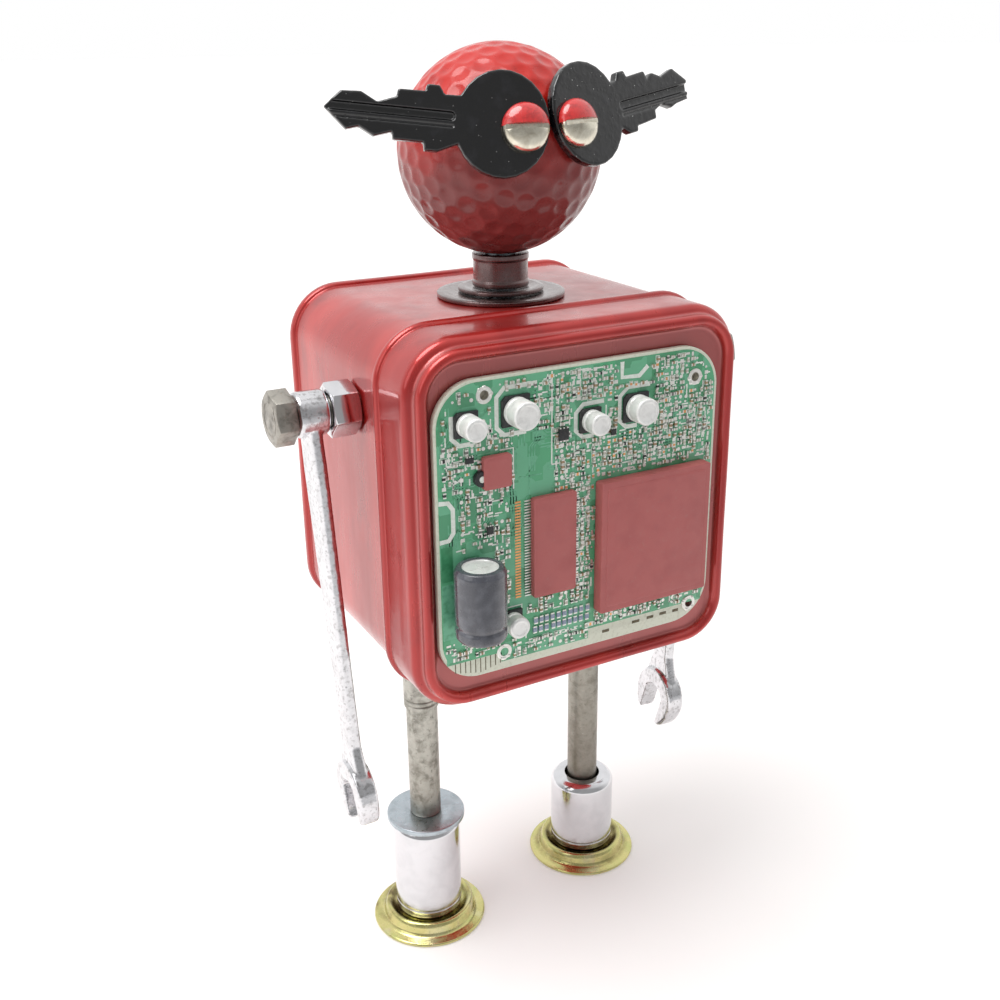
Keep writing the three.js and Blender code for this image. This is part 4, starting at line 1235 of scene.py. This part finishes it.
class ROBOT_OT_board(bpy.types.Operator):
    """Make the circuit board, its tracks, ink and small parts"""

    bl_idname = "robot.make_board"
    bl_label = "Circuit board"

    def execute(self, context):
        sizes = context.scene.robot_sizes
        self.make_blank()
        self.make_holes()
        self.make_tracks(sizes.trace_width / MM)
        self.make_small_parts(sizes.ink_width / MM)
        self.make_rows()
        self.make_ink(sizes.ink_width / MM)
        return {"FINISHED"}

    def place(self, name, mesh, finish, nodes=()):
        return piece(name, mesh, ON_BOARD, "lid", [finish_for(finish)], nodes)

    def make_blank(self):
        x0, x1, y0, y1 = board_box("circuit_board")
        thick = extent("circuit_board").y
        cx, cy = (x0 + x1) / 2, (y0 + y1) / 2
        outline = rounded_box((x1 - x0) / 2, (y1 - y0) / 2, BOARD_CORNER, 14, cx, cy)
        holes = [circle(HOLE_RADIUS, 24, x, y) for x, y in BOARD_HOLES]
        core = sheet([outline, *holes], -thick, -MASK_DEPTH, 0.05)
        self.place("board_core", core, "bare_laminate", ["circuit_board"])
        inner = rounded_box((x1 - x0) / 2 - 0.6, (y1 - y0) / 2 - 0.6, 8.5, 14, cx, cy)
        upper = [(x, y) for x, y in inner if y > 89]
        face = sheet([[*reversed(BARE_STEPS[1:-1]), *self.mask_side(upper)], *self.mask_holes()],
                     -MASK_DEPTH, 0.0, 0.02)
        self.place("board_mask", face, "solder_mask")
        frame["nodes"]["board_tape"].data.materials.clear()
        frame["nodes"]["board_tape"].data.materials.append(finish_for("tape_paper"))
        for name, (a, b, c, d), finish in (
            ("board_pale_patch", PALE_PATCH, "buried_copper"),
            ("board_dark_patch", DARK_PATCH, "dark_mask"),
        ):
            self.place(name, block(a, b, c, d, -0.05, 0.06, 0.03), finish)
        slots = [(5.6, 86.3, 0.9), (13.4, 86.6, 1.0), (17.2, 86.7, 0.9), (20.6, 86.8, 0.9), (24.0, 86.7, 0.8)]
        ticks = [block(x - w, x + w, y - 0.35, y + 0.35, -0.3, -0.06, 0.1) for x, y, w in slots]
        ticks += [block(x - 0.1, x + 0.1, 84.6 + 0.25 * i, 87.9, -0.3, -0.08, 0.02)
                  for i, x in ((abs(k - 5), -30.6 + 1.15 * k) for k in range(10))]
        self.place("board_edge_marks", together(*ticks), "burnt_laminate")

    def mask_side(self, upper):
        """The mask's upper outline, from its lower right corner round to its lower left."""
        right = [p for p in upper if p[0] > 0 and p[1] < 100]
        rest = [p for p in upper if p not in right]
        return [(right[0][0], 88.0), *right, *rest, (rest[-1][0], 88.0)]

    def mask_holes(self):
        return [circle(HOLE_RADIUS + 0.05, 24, x, y) for x, y in BOARD_HOLES if y > 90]

    def make_holes(self):
        """Rings of solder round the screw holes, each with a few uneven blobs."""
        chance = random.Random(3)
        thick = extent("circuit_board").y
        shells = []
        for x, y in BOARD_HOLES:
            rings = [tube(1.75, 1.2, -0.2, 0.12, 0.06, 28), tube(1.22, 0.95, -thick + 0.1, 0.16, 0.04, 28)]
            for _ in range(5):
                angle = chance.uniform(0, 2 * math.pi)
                size = chance.uniform(0.35, 0.6)
                blob = turned(soften([(0, -0.2), (size, -0.2), (0.8 * size, 0.22), (0, 0.34)], 0.3), 14)
                blob.transform(moved(1.5 * math.cos(angle), 1.5 * math.sin(angle), 0))
                rings.append(blob)
            ring = rings[0]
            for other in rings[1:]:
                ring = together(ring, other)
            ring.transform(moved(x, y, 0))
            shells.append(ring)
        self.place("board_hole_plating", together(*shells), "solder")

    def make_tracks(self, width):
        chance = random.Random(11)
        boxes = [box for box in board_keep_out(0.2) if box[1] - box[0] > 5 and box[2] < 121]
        paths = []
        while len(paths) < TRACKS:
            x, y = chance.uniform(*BOARD_X), chance.uniform(87, 146)
            heading = chance.choice([0, 90, 180, 270])
            legs = [(heading, chance.uniform(2, 7))]
            legs.append((heading + chance.choice([-45, 45]), chance.uniform(0.7, 2)))
            legs.append((heading, chance.uniform(1.5, 6)))
            for strand in range(chance.choice([1, 2, 3, 4])):
                side = math.radians(heading + 90)
                px = x + strand * STRAND_PITCH * math.cos(side)
                py = y + strand * STRAND_PITCH * math.sin(side)
                path = [(px, py)]
                for turn, reach in legs:
                    px += reach * math.cos(math.radians(turn))
                    py += reach * math.sin(math.radians(turn))
                    path.append((px, py))
                if not all(board_clear(a, b, 0, boxes) for a, b in path):
                    break
                paths.append((path, False))
        grown = strip_recipe("Board Tracks").grow(
            path_mesh(paths, 0.0), finish_for("buried_copper"), Width=width, Height=0.05
        )
        self.place("board_tracks", grown, "buried_copper")

    def make_small_parts(self, ink):
        chance = random.Random(5)
        boxes = board_keep_out(0.3)
        heights = {"ceramic_tan": 0.55, "ceramic_grey": 0.45, "moulded_black": 0.36, "bare_copper": 0.1,
                   "ceramic_pale": 0.4}
        parts = {kind: [] for kind in heights}
        ends, dots, frames = [], [], []
        pitch_x, pitch_y = 1.25, 1.12
        for row in range(int(63 / pitch_y)):
            for column in range(int(67 / pitch_x)):
                x = -33.4 + pitch_x * column + chance.uniform(-0.12, 0.12)
                y = 84.6 + pitch_y * row + chance.uniform(-0.12, 0.12)
                busy, copper = board_traffic(x, y)
                if chance.random() > busy or not board_clear(x, y, 0.3, boxes):
                    continue
                pick = chance.random()
                if pick < 0.2:
                    size = chance.choice([0.4, 0.55, 0.8])
                    dots.append(((x, y, 0.02), 0, (size, size, 1)))
                    continue
                if pick < 0.36:
                    long, wide = chance.choice([(1.0, 0.45), (0.5, 0.9), (0.85, 0.75)])
                    ends.append(((x, y, 0.03), 0, (long, wide, 0.1)))
                    continue
                weights = [4, 2, 1.1, 14 * copper, 5]
                kind = chance.choices(list(heights), weights)[0]
                tall = heights[kind]
                long, wide = chance.choice([(0.92, 0.5), (0.92, 0.5), (1.05, 0.62)])
                turn = chance.choice([0, math.pi / 2])
                parts[kind].append(((x, y, tall / 2), turn, (long * 0.62, wide, tall)))
                for sign in (-1, 1):
                    dx = sign * long * 0.4
                    spot = (x + dx * math.cos(turn), y + dx * math.sin(turn), tall / 2)
                    ends.append((spot, turn, (long * 0.28, wide * 1.12, tall + 0.05)))
                if chance.random() < 0.3:
                    a, b = (long * 0.66, wide * 0.8) if turn == 0 else (wide * 0.8, long * 0.66)
                    frames.append(([(x - a, y - b), (x + a, y - b), (x + a, y + b), (x - a, y + b)], True))
        recipe = scatter_recipe("Board Parts")
        for kind, points in parts.items():
            self.place(f"board_parts_{kind}", recipe.grow(point_mesh(points), finish_for(kind)), kind)
        self.place("board_part_ends", recipe.grow(point_mesh(ends), finish_for("solder")), "solder")
        disc = scatter_recipe("Board Vias", True)
        self.place("board_vias", disc.grow(point_mesh(dots), finish_for("solder"), Height=0.08), "solder")
        outlines = strip_recipe("Board Part Outlines").grow(
            path_mesh(frames, 0.03), finish_for("silk_ink"), Width=0.5 * ink, Height=0.06
        )
        self.place("board_part_outlines", outlines, "silk_ink")

    def make_rows(self):
        """Rows of fine legs beside the chips, the bare pads next to them and the lone parts."""
        recipe = scatter_recipe("Board Rows")
        pins, pads, packs = [], [], []
        x0, x1, y0, y1 = board_box("chip_medium")
        count = 34
        for i in range(count):
            y = y0 + 0.5 + (y1 - y0 - 1.0) * i / (count - 1)
            pins.append(((x0 - 0.75, y, 0.16), 0, (1.5, 0.26, 0.3)))
            pins.append(((x1 + 0.6, y, 0.16), 0, (1.3, 0.26, 0.3)))
            pads.append(((x0 - 2.9, y, 0.02), 0, (1.3, 0.36, 0.1)))
        x0, x1, y0, y1 = board_box("chip_small")
        for i in range(4):
            y = y0 + 1 + (y1 - y0 - 2) * i / 3
            pins.append(((x0 - 0.4, y, 0.16), 0, (0.9, 0.5, 0.3)))
            pins.append(((x1 + 0.4, y, 0.16), 0, (0.9, 0.5, 0.3)))
        left, _, bottom, top = PAD_ROWS
        chance = random.Random(8)
        for i in range(10):
            for y in (bottom + 1.05, top - 1.05):
                x = left + 0.9 + 1.4 * i + chance.uniform(-0.15, 0.15)
                packs.append(((x, y, 0.2), 0, (0.9, 0.9, 0.4)))
                pins.append(((x, y + 0.62, 0.15), 0, (0.85, 0.35, 0.32)))
                pins.append(((x, y - 0.62, 0.15), 0, (0.85, 0.35, 0.32)))
        lone = [(-5.9, 133.0, 2.2, 2.4), (-26.8, 131.2, 1.6, 1.2), (5.9, 131.6, 1.1, 1.3),
                (-22.6, 116.0, 1.3, 1.7)]
        blocks = [block(x - w / 2, x + w / 2, y - h / 2, y + h / 2, 0.45, 1.05, 0.08) for x, y, w, h in lone]
        for x, y, w, h in lone:
            for k in (-0.36, 0, 0.36):
                pins.append(((x + k * w, y - h / 2, 0.5), 0, (0.3, 0.5, 0.9)))
                pins.append(((x + k * w, y + h / 2, 0.5), 0, (0.3, 0.5, 0.9)))
        self.place("board_lone_packages", together(*blocks), "moulded_black")
        self.place("board_chip_legs", recipe.grow(point_mesh(pins), finish_for("solder")), "solder")
        self.place("board_bare_pads", recipe.grow(point_mesh(pads), finish_for("bare_copper")), "bare_copper")
        self.place("board_resistor_rows", recipe.grow(point_mesh(packs), finish_for("ceramic_blue")),
                   "ceramic_blue")
        drum = turned(soften([(0, 0), (1.6, 0), (1.6, 1.2), (0.75, 1.2), (0.7, 1.05), (0, 1.05)], 0.15), 40)
        drum.transform(moved(*ROUND_PART, 0))
        self.place("board_round_part", drum, "moulded_black")
        button = rod(0.66, 1.0, 1.25, 0.12, 24)
        button.transform(moved(*ROUND_PART, 0))
        self.place("board_round_part_middle", button, "silk_ink")

    def make_ink(self, ink):
        heavy = [
            [(-26.2, 134.2), (-28.6, 134.2), (-30.2, 135.8), (-30.2, 140.2)],
            [(-11.6, 144.2), (-18.8, 144.2), (-20.5, 142.5), (-20.5, 136.4), (-18.9, 134.8), (-14.0, 134.8)],
            [(3.9, 138.3), (-1.0, 138.2), (-2.7, 136.6), (-2.7, 133.0), (-1.0, 131.4), (1.6, 131.4)],
            [(15.0, 140.2), (9.6, 140.2), (7.7, 138.5), (7.7, 133.4), (9.3, 131.9), (12.0, 131.9)],
            [(-33.3, 123.3), (-31.3, 123.1), (-30.3, 121.6), (-30.3, 116.7), (-31.3, 115.3), (-33.3, 115.2)],
            [(8.1, 145.6), (8.1, 142.4), (12.3, 142.2), (14.3, 144.0)],
        ]
        wide = strip_recipe("Board Heavy Ink").grow(
            path_mesh([(path, False) for path in heavy], 0.05), finish_for("silk_ink"), Width=2.9 * ink,
            Height=0.06
        )
        self.place("board_ink_outlines", wide, "silk_ink")

        chance = random.Random(23)
        boxes = board_keep_out(0.3)
        fine = [[(-8.2, 126.9), (-8.2, 146.0)], [(-19.9, 131.9), (-16.9, 131.9), (-16.9, 123.4)]]
        fine += [[(-8.2, 126.9), (-5.0, 126.9), (-5.0, 123.0)], [(-15.2, 93.2), (-15.2, 97.8), (-18.6, 97.8)]]
        while len(fine) < FINE_LINES:
            x, y = chance.uniform(*BOARD_X), chance.uniform(85, 146)
            if not board_clear(x, y, 0.3, boxes):
                continue
            long = chance.uniform(0.8, 2.4)
            end = (x + long, y) if chance.random() < 0.45 else (x, y + long)
            if board_clear(*end, 0.1, boxes):
                fine.append([(x, y), end])
        thin = strip_recipe("Board Fine Ink").grow(
            path_mesh([(path, False) for path in fine], 0.04), finish_for("silk_ink"), Width=0.9 * ink,
            Height=0.05
        )
        self.place("board_ink_lines", thin, "silk_ink")


class ROBOT_OT_chips(bpy.types.Operator):
    """Make the painted chips"""

    bl_idname = "robot.make_chips"
    bl_label = "Chips"

    def execute(self, context):
        for node, inset, rise in (("chip_large", 1.3, 0.1), ("chip_medium", 0.5, 0.06),
                                  ("chip_small", 0.4, 0.05)):
            x0, x1, y0, y1 = board_box(node)
            thick = extent(node).y
            half_x, half_y, cx, cy = (x1 - x0) / 2, (y1 - y0) / 2, (x0 + x1) / 2, (y0 + y1) / 2
            body = sheet([rounded_box(half_x, half_y, 0.5, 5, cx, cy)], 0.05, thick - rise, 0.18)
            cap = sheet([rounded_box(half_x - inset, half_y - inset, 0.8, 5, cx, cy)], thick - rise - 0.3,
                        thick, 0.16)
            mesh = combined(body, cap, "UNION")
            piece(node + "_painted", mesh, ON_BOARD, "lid", [finish_for("chip_paint")], [node])
        return {"FINISHED"}


class ROBOT_OT_cans(bpy.types.Operator):
    """Make the small can capacitors on their bases"""

    bl_idname = "robot.make_cans"
    bl_label = "Can capacitors"

    def execute(self, context):
        for i in range(1, 6):
            base, can = f"capacitor_base_{i}", f"capacitor_can_{i}"
            x0, x1, y0, y1 = board_box(base)
            thick = extent(base).y
            clip = 0.15 * (x1 - x0)
            outline = [(x0, y0), (x1, y0), (x1, y1), (x0 + clip, y1), (x0, y1 - clip)]
            mesh = sheet([outline], 0.05, thick, 0.08)
            moulded = [finish_for("moulded_black")]
            piece(base + "_moulded", mesh, ON_BOARD, "lid", moulded, [base])

            radius, height = extent(can).x / 2, extent(can).y
            profile = [(0, 0), (radius, 0), (radius, 0.75), (radius - 0.22, 0.95), (radius - 0.22, 1.2),
                       (radius, 1.4), (radius, height - 0.35), (radius - 0.3, height),
                       (radius - 0.75, height - 0.02), (radius - 0.9, height - 0.12), (0, height - 0.12)]
            centre = middle(can)
            place = ON_BOARD @ moved(centre.x, centre.z, BOARD_FRONT - high(can).y)
            mesh = turned(soften(profile, 0.14, 2), 64)
            piece(can + "_drawn", mesh, place, "lid", [finish_for("can_skin")], [can])
        return {"FINISHED"}


class ROBOT_OT_bulk(bpy.types.Operator):
    """Make the tall capacitor and its shrunk sleeve"""

    bl_idname = "robot.make_bulk_capacitor"
    bl_label = "Tall capacitor"

    def execute(self, context):
        can, jacket = "bulk_capacitor_can", "bulk_capacitor_sleeve"
        centre, bottom, height = middle(can), low(can).z, extent(can).z
        radius, outer = extent(can).x / 2, extent(jacket).x / 2
        place = moved(centre.x, centre.y, bottom)
        profile = [(0, 0.1), (0.8 * radius, 0), (radius, 0.5), (radius, 1.8), (0.92 * radius, 2.4),
                   (radius, 3), (radius, height - 0.7), (0.9 * radius, height),
                   (0.76 * radius, height + 0.05), (0.7 * radius, height - 0.25), (0, height - 0.2)]
        mesh = turned(soften(profile, 0.2, 3), 96)
        vents = [block(-0.5 * radius, 0.5 * radius, -0.11, 0.11, height - 0.4, height + 1, 0.03)]
        vents.append(vents[0].copy())
        vents[1].transform(Matrix.Rotation(math.radians(90), 4, "Z"))
        for vent in vents:
            mesh = combined(mesh, vent, "DIFFERENCE")
        piece("tall_can", mesh, place, "lid", [finish_for("can_skin")], [can])

        under, over = low(jacket).z - bottom, high(jacket).z - bottom
        inner, lip = radius + 0.04, 0.7 * outer
        profile = [(lip, under), (0.93 * outer, under), (outer, under + 0.7), (outer, 1.9),
                   (outer - 0.38, 2.4), (outer - 0.05, 3.2), (outer, 5), (outer, over - 1.1),
                   (0.9 * outer, over - 0.1), (lip, over), (lip, height + 0.08),
                   (0.88 * radius, height + 0.08), (inner, height - 0.8), (inner, 3.1), (inner - 0.36, 2.4),
                   (inner, 1.7), (inner, 0.5), (0.82 * radius, -0.06), (lip, -0.06)]
        mesh = turned(soften(profile, 0.25, 3, True), 96, closed=True)
        piece("tall_sleeve", mesh, place, "lid", [finish_for("sleeve_film")], [jacket])
        return {"FINISHED"}


def hexagon(flats, bottom, top, bore=0.0, turn=0.0, chamfers=(True, True)):
    """A hexagon nut or head along Z, its corners turned off at the chosen ends."""
    corner = flats / math.sqrt(3)
    angles = [turn + math.radians(60 * i) for i in range(6)]
    outline = [(corner * math.cos(a), corner * math.sin(a)) for a in angles]
    holes = [circle(bore, 48)] if bore else []
    prism = sheet([outline, *holes], bottom, top)
    face, wide, rise = 0.47 * flats, corner + 0.2, 0.55 * (corner - flats / 2)
    profile = [(0, bottom - 0.01), (face if chamfers[0] else wide, bottom - 0.01), (wide, bottom + rise),
               (wide, top - rise), (face if chamfers[1] else wide, top + 0.01), (0, top + 0.01)]
    mesh = combined(prism, turned(profile, 64), "INTERSECT")
    return worked(tidied(mesh), ("BEVEL", {"width": 0.13, "segments": 2, "angle_limit": math.radians(24)}))


class ROBOT_OT_shoulders(bpy.types.Operator):
    """Make the shoulder bolts and nuts"""

    bl_idname = "robot.make_shoulders"
    bl_label = "Shoulders"

    def execute(self, context):
        flats, shank, bore, head_thick = 10.0, 3.1, 3.4, 4.3
        for name, side in SIDES.items():
            outward = Matrix.Rotation(math.radians(90 * side), 4, "Y")
            nut, bolt = f"shoulder_nut_{name}", f"shoulder_bolt_{name}"
            y, z = middle(nut).y, middle(nut).z
            place = moved(0, y, z) @ outward
            turn = math.radians(90) + side * math.radians(15)
            near, far = sorted(abs(v) for v in (low(nut).x, high(nut).x))
            mesh = hexagon(flats, near, far, bore, turn)
            piece(nut + "_plated", mesh, place, "torso", [finish_for("chrome")], [nut], 30)
            start, end = sorted(abs(v) for v in (low(bolt).x, high(bolt).x))
            head = hexagon(flats, end - head_thick, end, 0, turn, (False, True))
            stem = rod(shank, start, end - head_thick + 0.05, 0.4)
            mark = tube(3.7, 3.3, end - 0.02, end + 0.06, 0.02, 48)
            mesh = together(head, stem, mark)
            piece(bolt + "_forged", mesh, place, "torso", [finish_for("bolt_steel")], [bolt],
                  30)
        return {"FINISHED"}


class ROBOT_OT_arms(bpy.types.Operator):
    """Make the two chromed spanners"""

    bl_idname = "robot.make_arms"
    bl_label = "Arms"

    def execute(self, context):
        for name in SIDES:
            node = f"wrench_{name}"
            mesh = worked(
                copy_of(node),
                ("REMESH", {"mode": "VOXEL", "voxel_size": 0.22}),
                ("SMOOTH", {"factor": 0.5, "iterations": 10}),
            )
            material = [finish_for("forged_chrome")]
            piece(node + "_forged", mesh, Matrix(), f"arm_{name}", material, [node], 60)
        return {"FINISHED"}


class ROBOT_OT_legs(bpy.types.Operator):
    """Make the leg tubes and the left leg's sleeve"""

    bl_idname = "robot.make_legs"
    bl_label = "Legs"

    def execute(self, context):
        steel = [finish_for("leg_steel")]
        for node in ("leg_tube_left", "leg_tube_right", "leg_sleeve_left"):
            radius = extent(node).x / 2
            bottom, top = 0, extent(node).z
            inner = 3.82 if "sleeve" in node else 2.75
            profile = [(inner, bottom), (radius, bottom), (radius, top), (inner, top)]
            if "sleeve" in node:
                rings = [(radius, 0.8), (radius - 0.16, 1.0), (radius, 1.2), (radius, 2.0),
                         (radius - 0.16, 2.2), (radius, 2.4)]
                profile = [(inner, 0), (radius, 0), *rings, (radius, top), (inner, top)]
            mesh = turned(soften(filled(profile, 3), 0.12, 2, True), 96, closed=True)
            place = standing(node)
            piece(node + "_drawn", rippled(mesh, 0.03, 3), place, "torso", steel, [node])
        return {"FINISHED"}


class ROBOT_OT_feet(bpy.types.Operator):
    """Make the sockets, cup washers and the plain washer of the feet"""

    bl_idname = "robot.make_feet"
    bl_label = "Feet"

    def execute(self, context):
        for name in SIDES:
            self.make_socket(f"foot_socket_{name}")
            self.make_cup(f"foot_cup_{name}")
        node = "foot_washer_left"
        radius, thick = extent(node).x / 2, extent(node).z
        profile = [(3.0, 0), (radius, 0), (radius, thick), (3.0, thick)]
        mesh = turned(soften(profile, 0.3, 3, True), 96, closed=True)
        place = standing(node)
        piece(node + "_plated", mesh, place, "torso", [finish_for("zinc")], [node])
        return {"FINISHED"}

    def make_socket(self, node):
        radius, height = extent(node).x / 2, extent(node).z
        profile = [(5.1, 0), (radius - 0.7, 0), (radius, 0.6), (radius, 2.2), (radius - 0.14, 2.4),
                   (radius, 2.6), (radius, height - 1.9), (radius - 0.5, height - 0.9),
                   (radius - 1.6, height), (4.6, height), (4.4, height - 0.4), (4.4, height - 8.9),
                   (3.0, height - 9), (3.0, 9), (5.0, 8.9)]
        mesh = turned(soften(profile, 0.35, 3, True), 128, closed=True)
        place = standing(node)
        piece(node + "_plated", mesh, place, "torso", [finish_for("chrome")], [node])

    def make_cup(self, node):
        radius = extent(node).x / 2
        profile = [(6, 0), (radius - 0.25, 0), (radius, 0.4), (radius - 0.25, 0.85), (11.9, 1.15),
                   (11.3, 1.7), (10.9, 3.3), (10.5, 4.05), (10.0, 4.2), (9.6, 4.05), (8.9, 3.5), (8.4, 3.3),
                   (2.7, 3.3), (2.7, 2.1), (6, 2.1)]
        mesh = turned(soften(profile, 0.4, 3, True), 128, closed=True)
        place = standing(node)
        piece(node + "_plated", mesh, place, "torso", [finish_for("yellow_zinc")], [node], 45)


class ROBOT_OT_inner_hardware(bpy.types.Operator):
    """Finish the CAD's own nuts, washers and bolts inside the tin and legs"""

    bl_idname = "robot.finish_inner_hardware"
    bl_label = "Inner hardware"

    def execute(self, context):
        slots = {row["node"]: row["material_slot"] for row in frame["record"]["subparts"]}
        for node, cad in frame["nodes"].items():
            if not cad.hide_render and slots.get(node) == "zinc":
                cad.data.materials.clear()
                cad.data.materials.append(finish_for("zinc"))
        return {"FINISHED"}


# ---- floor, light and camera ----


FLOOR_REACH = 12.0
# The bright side of the room, and between which values of its cosine the room fades to dark.
ROOM_AIM, ROOM_FADE = (0.45, 0.8, 0.4), (-0.45, 0.5)
# Disk size, position and target of each lamp.
OVERHEAD = (0.5, (-0.25, 0.02, 0.75), (0, 0, 0))
FILL = (0.5, (-0.7, -0.1, 0.45), (0, 0, 0.1))
# Azimuth, elevation and roll in degrees, and the position with y measured from the neck.
CAMERA_ANGLES, CAMERA_SPOT = (-28.259, 21.176, -0.731), (-0.12468, -0.230355, 0.207293)


def area_light(name, power, size, position, target):
    data = bpy.data.lights.new(name, "AREA")
    data.shape = "DISK"
    data.size = size
    data.energy = power
    made = bpy.data.objects.new(name, data)
    made.location = position
    aim = (Vector(target) - Vector(position)).to_track_quat("-Z", "Y")
    made.rotation_euler = aim.to_euler()
    bpy.context.scene.collection.objects.link(made)
    return made


class ROBOT_OT_stage(bpy.types.Operator):
    """Make the floor, the light and the camera"""

    bl_idname = "robot.make_stage"
    bl_label = "Stage"

    def execute(self, context):
        settings = context.scene.robot_stage
        self.make_floor(settings)
        self.make_room(context.scene, settings)
        self.make_camera(context.scene, settings)
        context.scene.view_settings.view_transform = "Standard"
        return {"FINISHED"}

    def make_floor(self, settings):
        reach = FLOOR_REACH
        corners = [(-reach, -reach, 0), (reach, -reach, 0), (reach, reach, 0), (-reach, reach, 0)]
        mesh = bpy.data.meshes.new("floor")
        mesh.from_pydata(corners, [], [(0, 1, 2, 3)])
        paper = Finish("pale_paper", settings.floor_colour, roughness=0.7)
        depth = paper.along("Y")
        glow = paper.spread(depth, 0.1, 0.9, settings.floor_glow, 2.7 * settings.floor_glow)
        paper.link(glow, paper.surface.inputs["Emission Strength"])
        edge, fade = settings.pale_front, settings.pale_fade
        paper.blend(paper.spread(depth, -edge, -edge - fade), settings.floor_shade)
        paper.link(paper.colour, paper.surface.inputs["Emission Color"])
        paper.bump(paper.noise(30, detail=2), 0.1, 0.1)
        mesh.materials.append(paper.material)
        floor = bpy.data.objects.new("floor", mesh)
        bpy.context.scene.collection.objects.link(floor)

    def make_room(self, scene, settings):
        world = bpy.data.worlds.new("room")
        scene.world = world
        world.use_nodes = True
        tree = world.node_tree
        sky = tree.nodes["Background"]
        sky.inputs["Color"].default_value = (1, 1, 1, 1)
        aim = tree.nodes.new("ShaderNodeVectorMath")
        aim.operation = "DOT_PRODUCT"
        aim.inputs[1].default_value = ROOM_AIM
        tree.links.new(tree.nodes.new("ShaderNodeTexCoord").outputs["Generated"], aim.inputs[0])
        fade = tree.nodes.new("ShaderNodeMapRange")
        fade.interpolation_type = "SMOOTHSTEP"
        for socket, value in zip(list(fade.inputs)[1:5],
                                 (*ROOM_FADE, settings.room_dark, settings.room_bright)):
            socket.default_value = value
        tree.links.new(aim.outputs["Value"], fade.inputs[0])
        tree.links.new(fade.outputs[0], sky.inputs["Strength"])
        area_light("overhead", settings.key_power, *OVERHEAD)
        area_light("fill", settings.fill_power, *FILL)

    def make_camera(self, scene, settings):
        data = bpy.data.cameras.new("camera")
        data.lens = settings.lens
        data.clip_start = 0.01
        camera = bpy.data.objects.new("camera", data)
        azimuth, elevation, roll = (math.radians(a) for a in CAMERA_ANGLES)
        back = Vector(
            (math.sin(azimuth) * math.cos(elevation), -math.cos(azimuth) * math.cos(elevation),
             math.sin(elevation))
        )
        level = Vector((math.cos(azimuth), math.sin(azimuth), 0))
        upright = back.cross(level)
        right = math.cos(roll) * level + math.sin(roll) * upright
        up = -math.sin(roll) * level + math.cos(roll) * upright
        turn = Matrix((right, up, back)).transposed()
        x, y, z = CAMERA_SPOT
        spot = Vector((x, y + middle("neck_spacer").y * MM, z))
        camera.matrix_world = Matrix.Translation(spot) @ turn.to_4x4()
        scene.collection.objects.link(camera)
        scene.camera = camera


MAKERS = (
    ROBOT_OT_ball,
    ROBOT_OT_keys,
    ROBOT_OT_eyes,
    ROBOT_OT_neck,
    ROBOT_OT_tin,
    ROBOT_OT_lid,
    ROBOT_OT_board,
    ROBOT_OT_chips,
    ROBOT_OT_cans,
    ROBOT_OT_bulk,
    ROBOT_OT_shoulders,
    ROBOT_OT_arms,
    ROBOT_OT_legs,
    ROBOT_OT_feet,
    ROBOT_OT_inner_hardware,
    ROBOT_OT_stage,
)


class ROBOT_PT_sidebar(bpy.types.Panel):
    """The robot's pieces, finishes and stage"""

    bl_idname = "ROBOT_PT_sidebar"
    bl_label = "Robot"
    bl_space_type = "VIEW_3D"
    bl_region_type = "UI"
    bl_category = "Robot"

    def draw(self, context):
        layout = self.layout
        for maker in MAKERS:
            layout.operator(maker.bl_idname)
        for group in (context.scene.robot_sizes, context.scene.robot_colours, context.scene.robot_stage):
            box = layout.box()
            for name in group.__annotations__:
                box.prop(group, name)


GROUPS = {"robot_colours": RobotColours, "robot_sizes": RobotSizes, "robot_stage": RobotStage}


def register():
    for group in GROUPS.values():
        bpy.utils.register_class(group)
    for name, group in GROUPS.items():
        setattr(bpy.types.Scene, name, bpy.props.PointerProperty(type=group))
    for maker in (*MAKERS, ROBOT_PT_sidebar):
        bpy.utils.register_class(maker)


def unregister():
    for maker in reversed((*MAKERS, ROBOT_PT_sidebar)):
        bpy.utils.unregister_class(maker)
    for name, group in GROUPS.items():
        delattr(bpy.types.Scene, name)
        bpy.utils.unregister_class(group)


def main():
    register()
    for maker in MAKERS:
        group, name = maker.bl_idname.split(".")
        getattr(getattr(bpy.ops, group), name)()


if __name__ == "__main__":
    main()
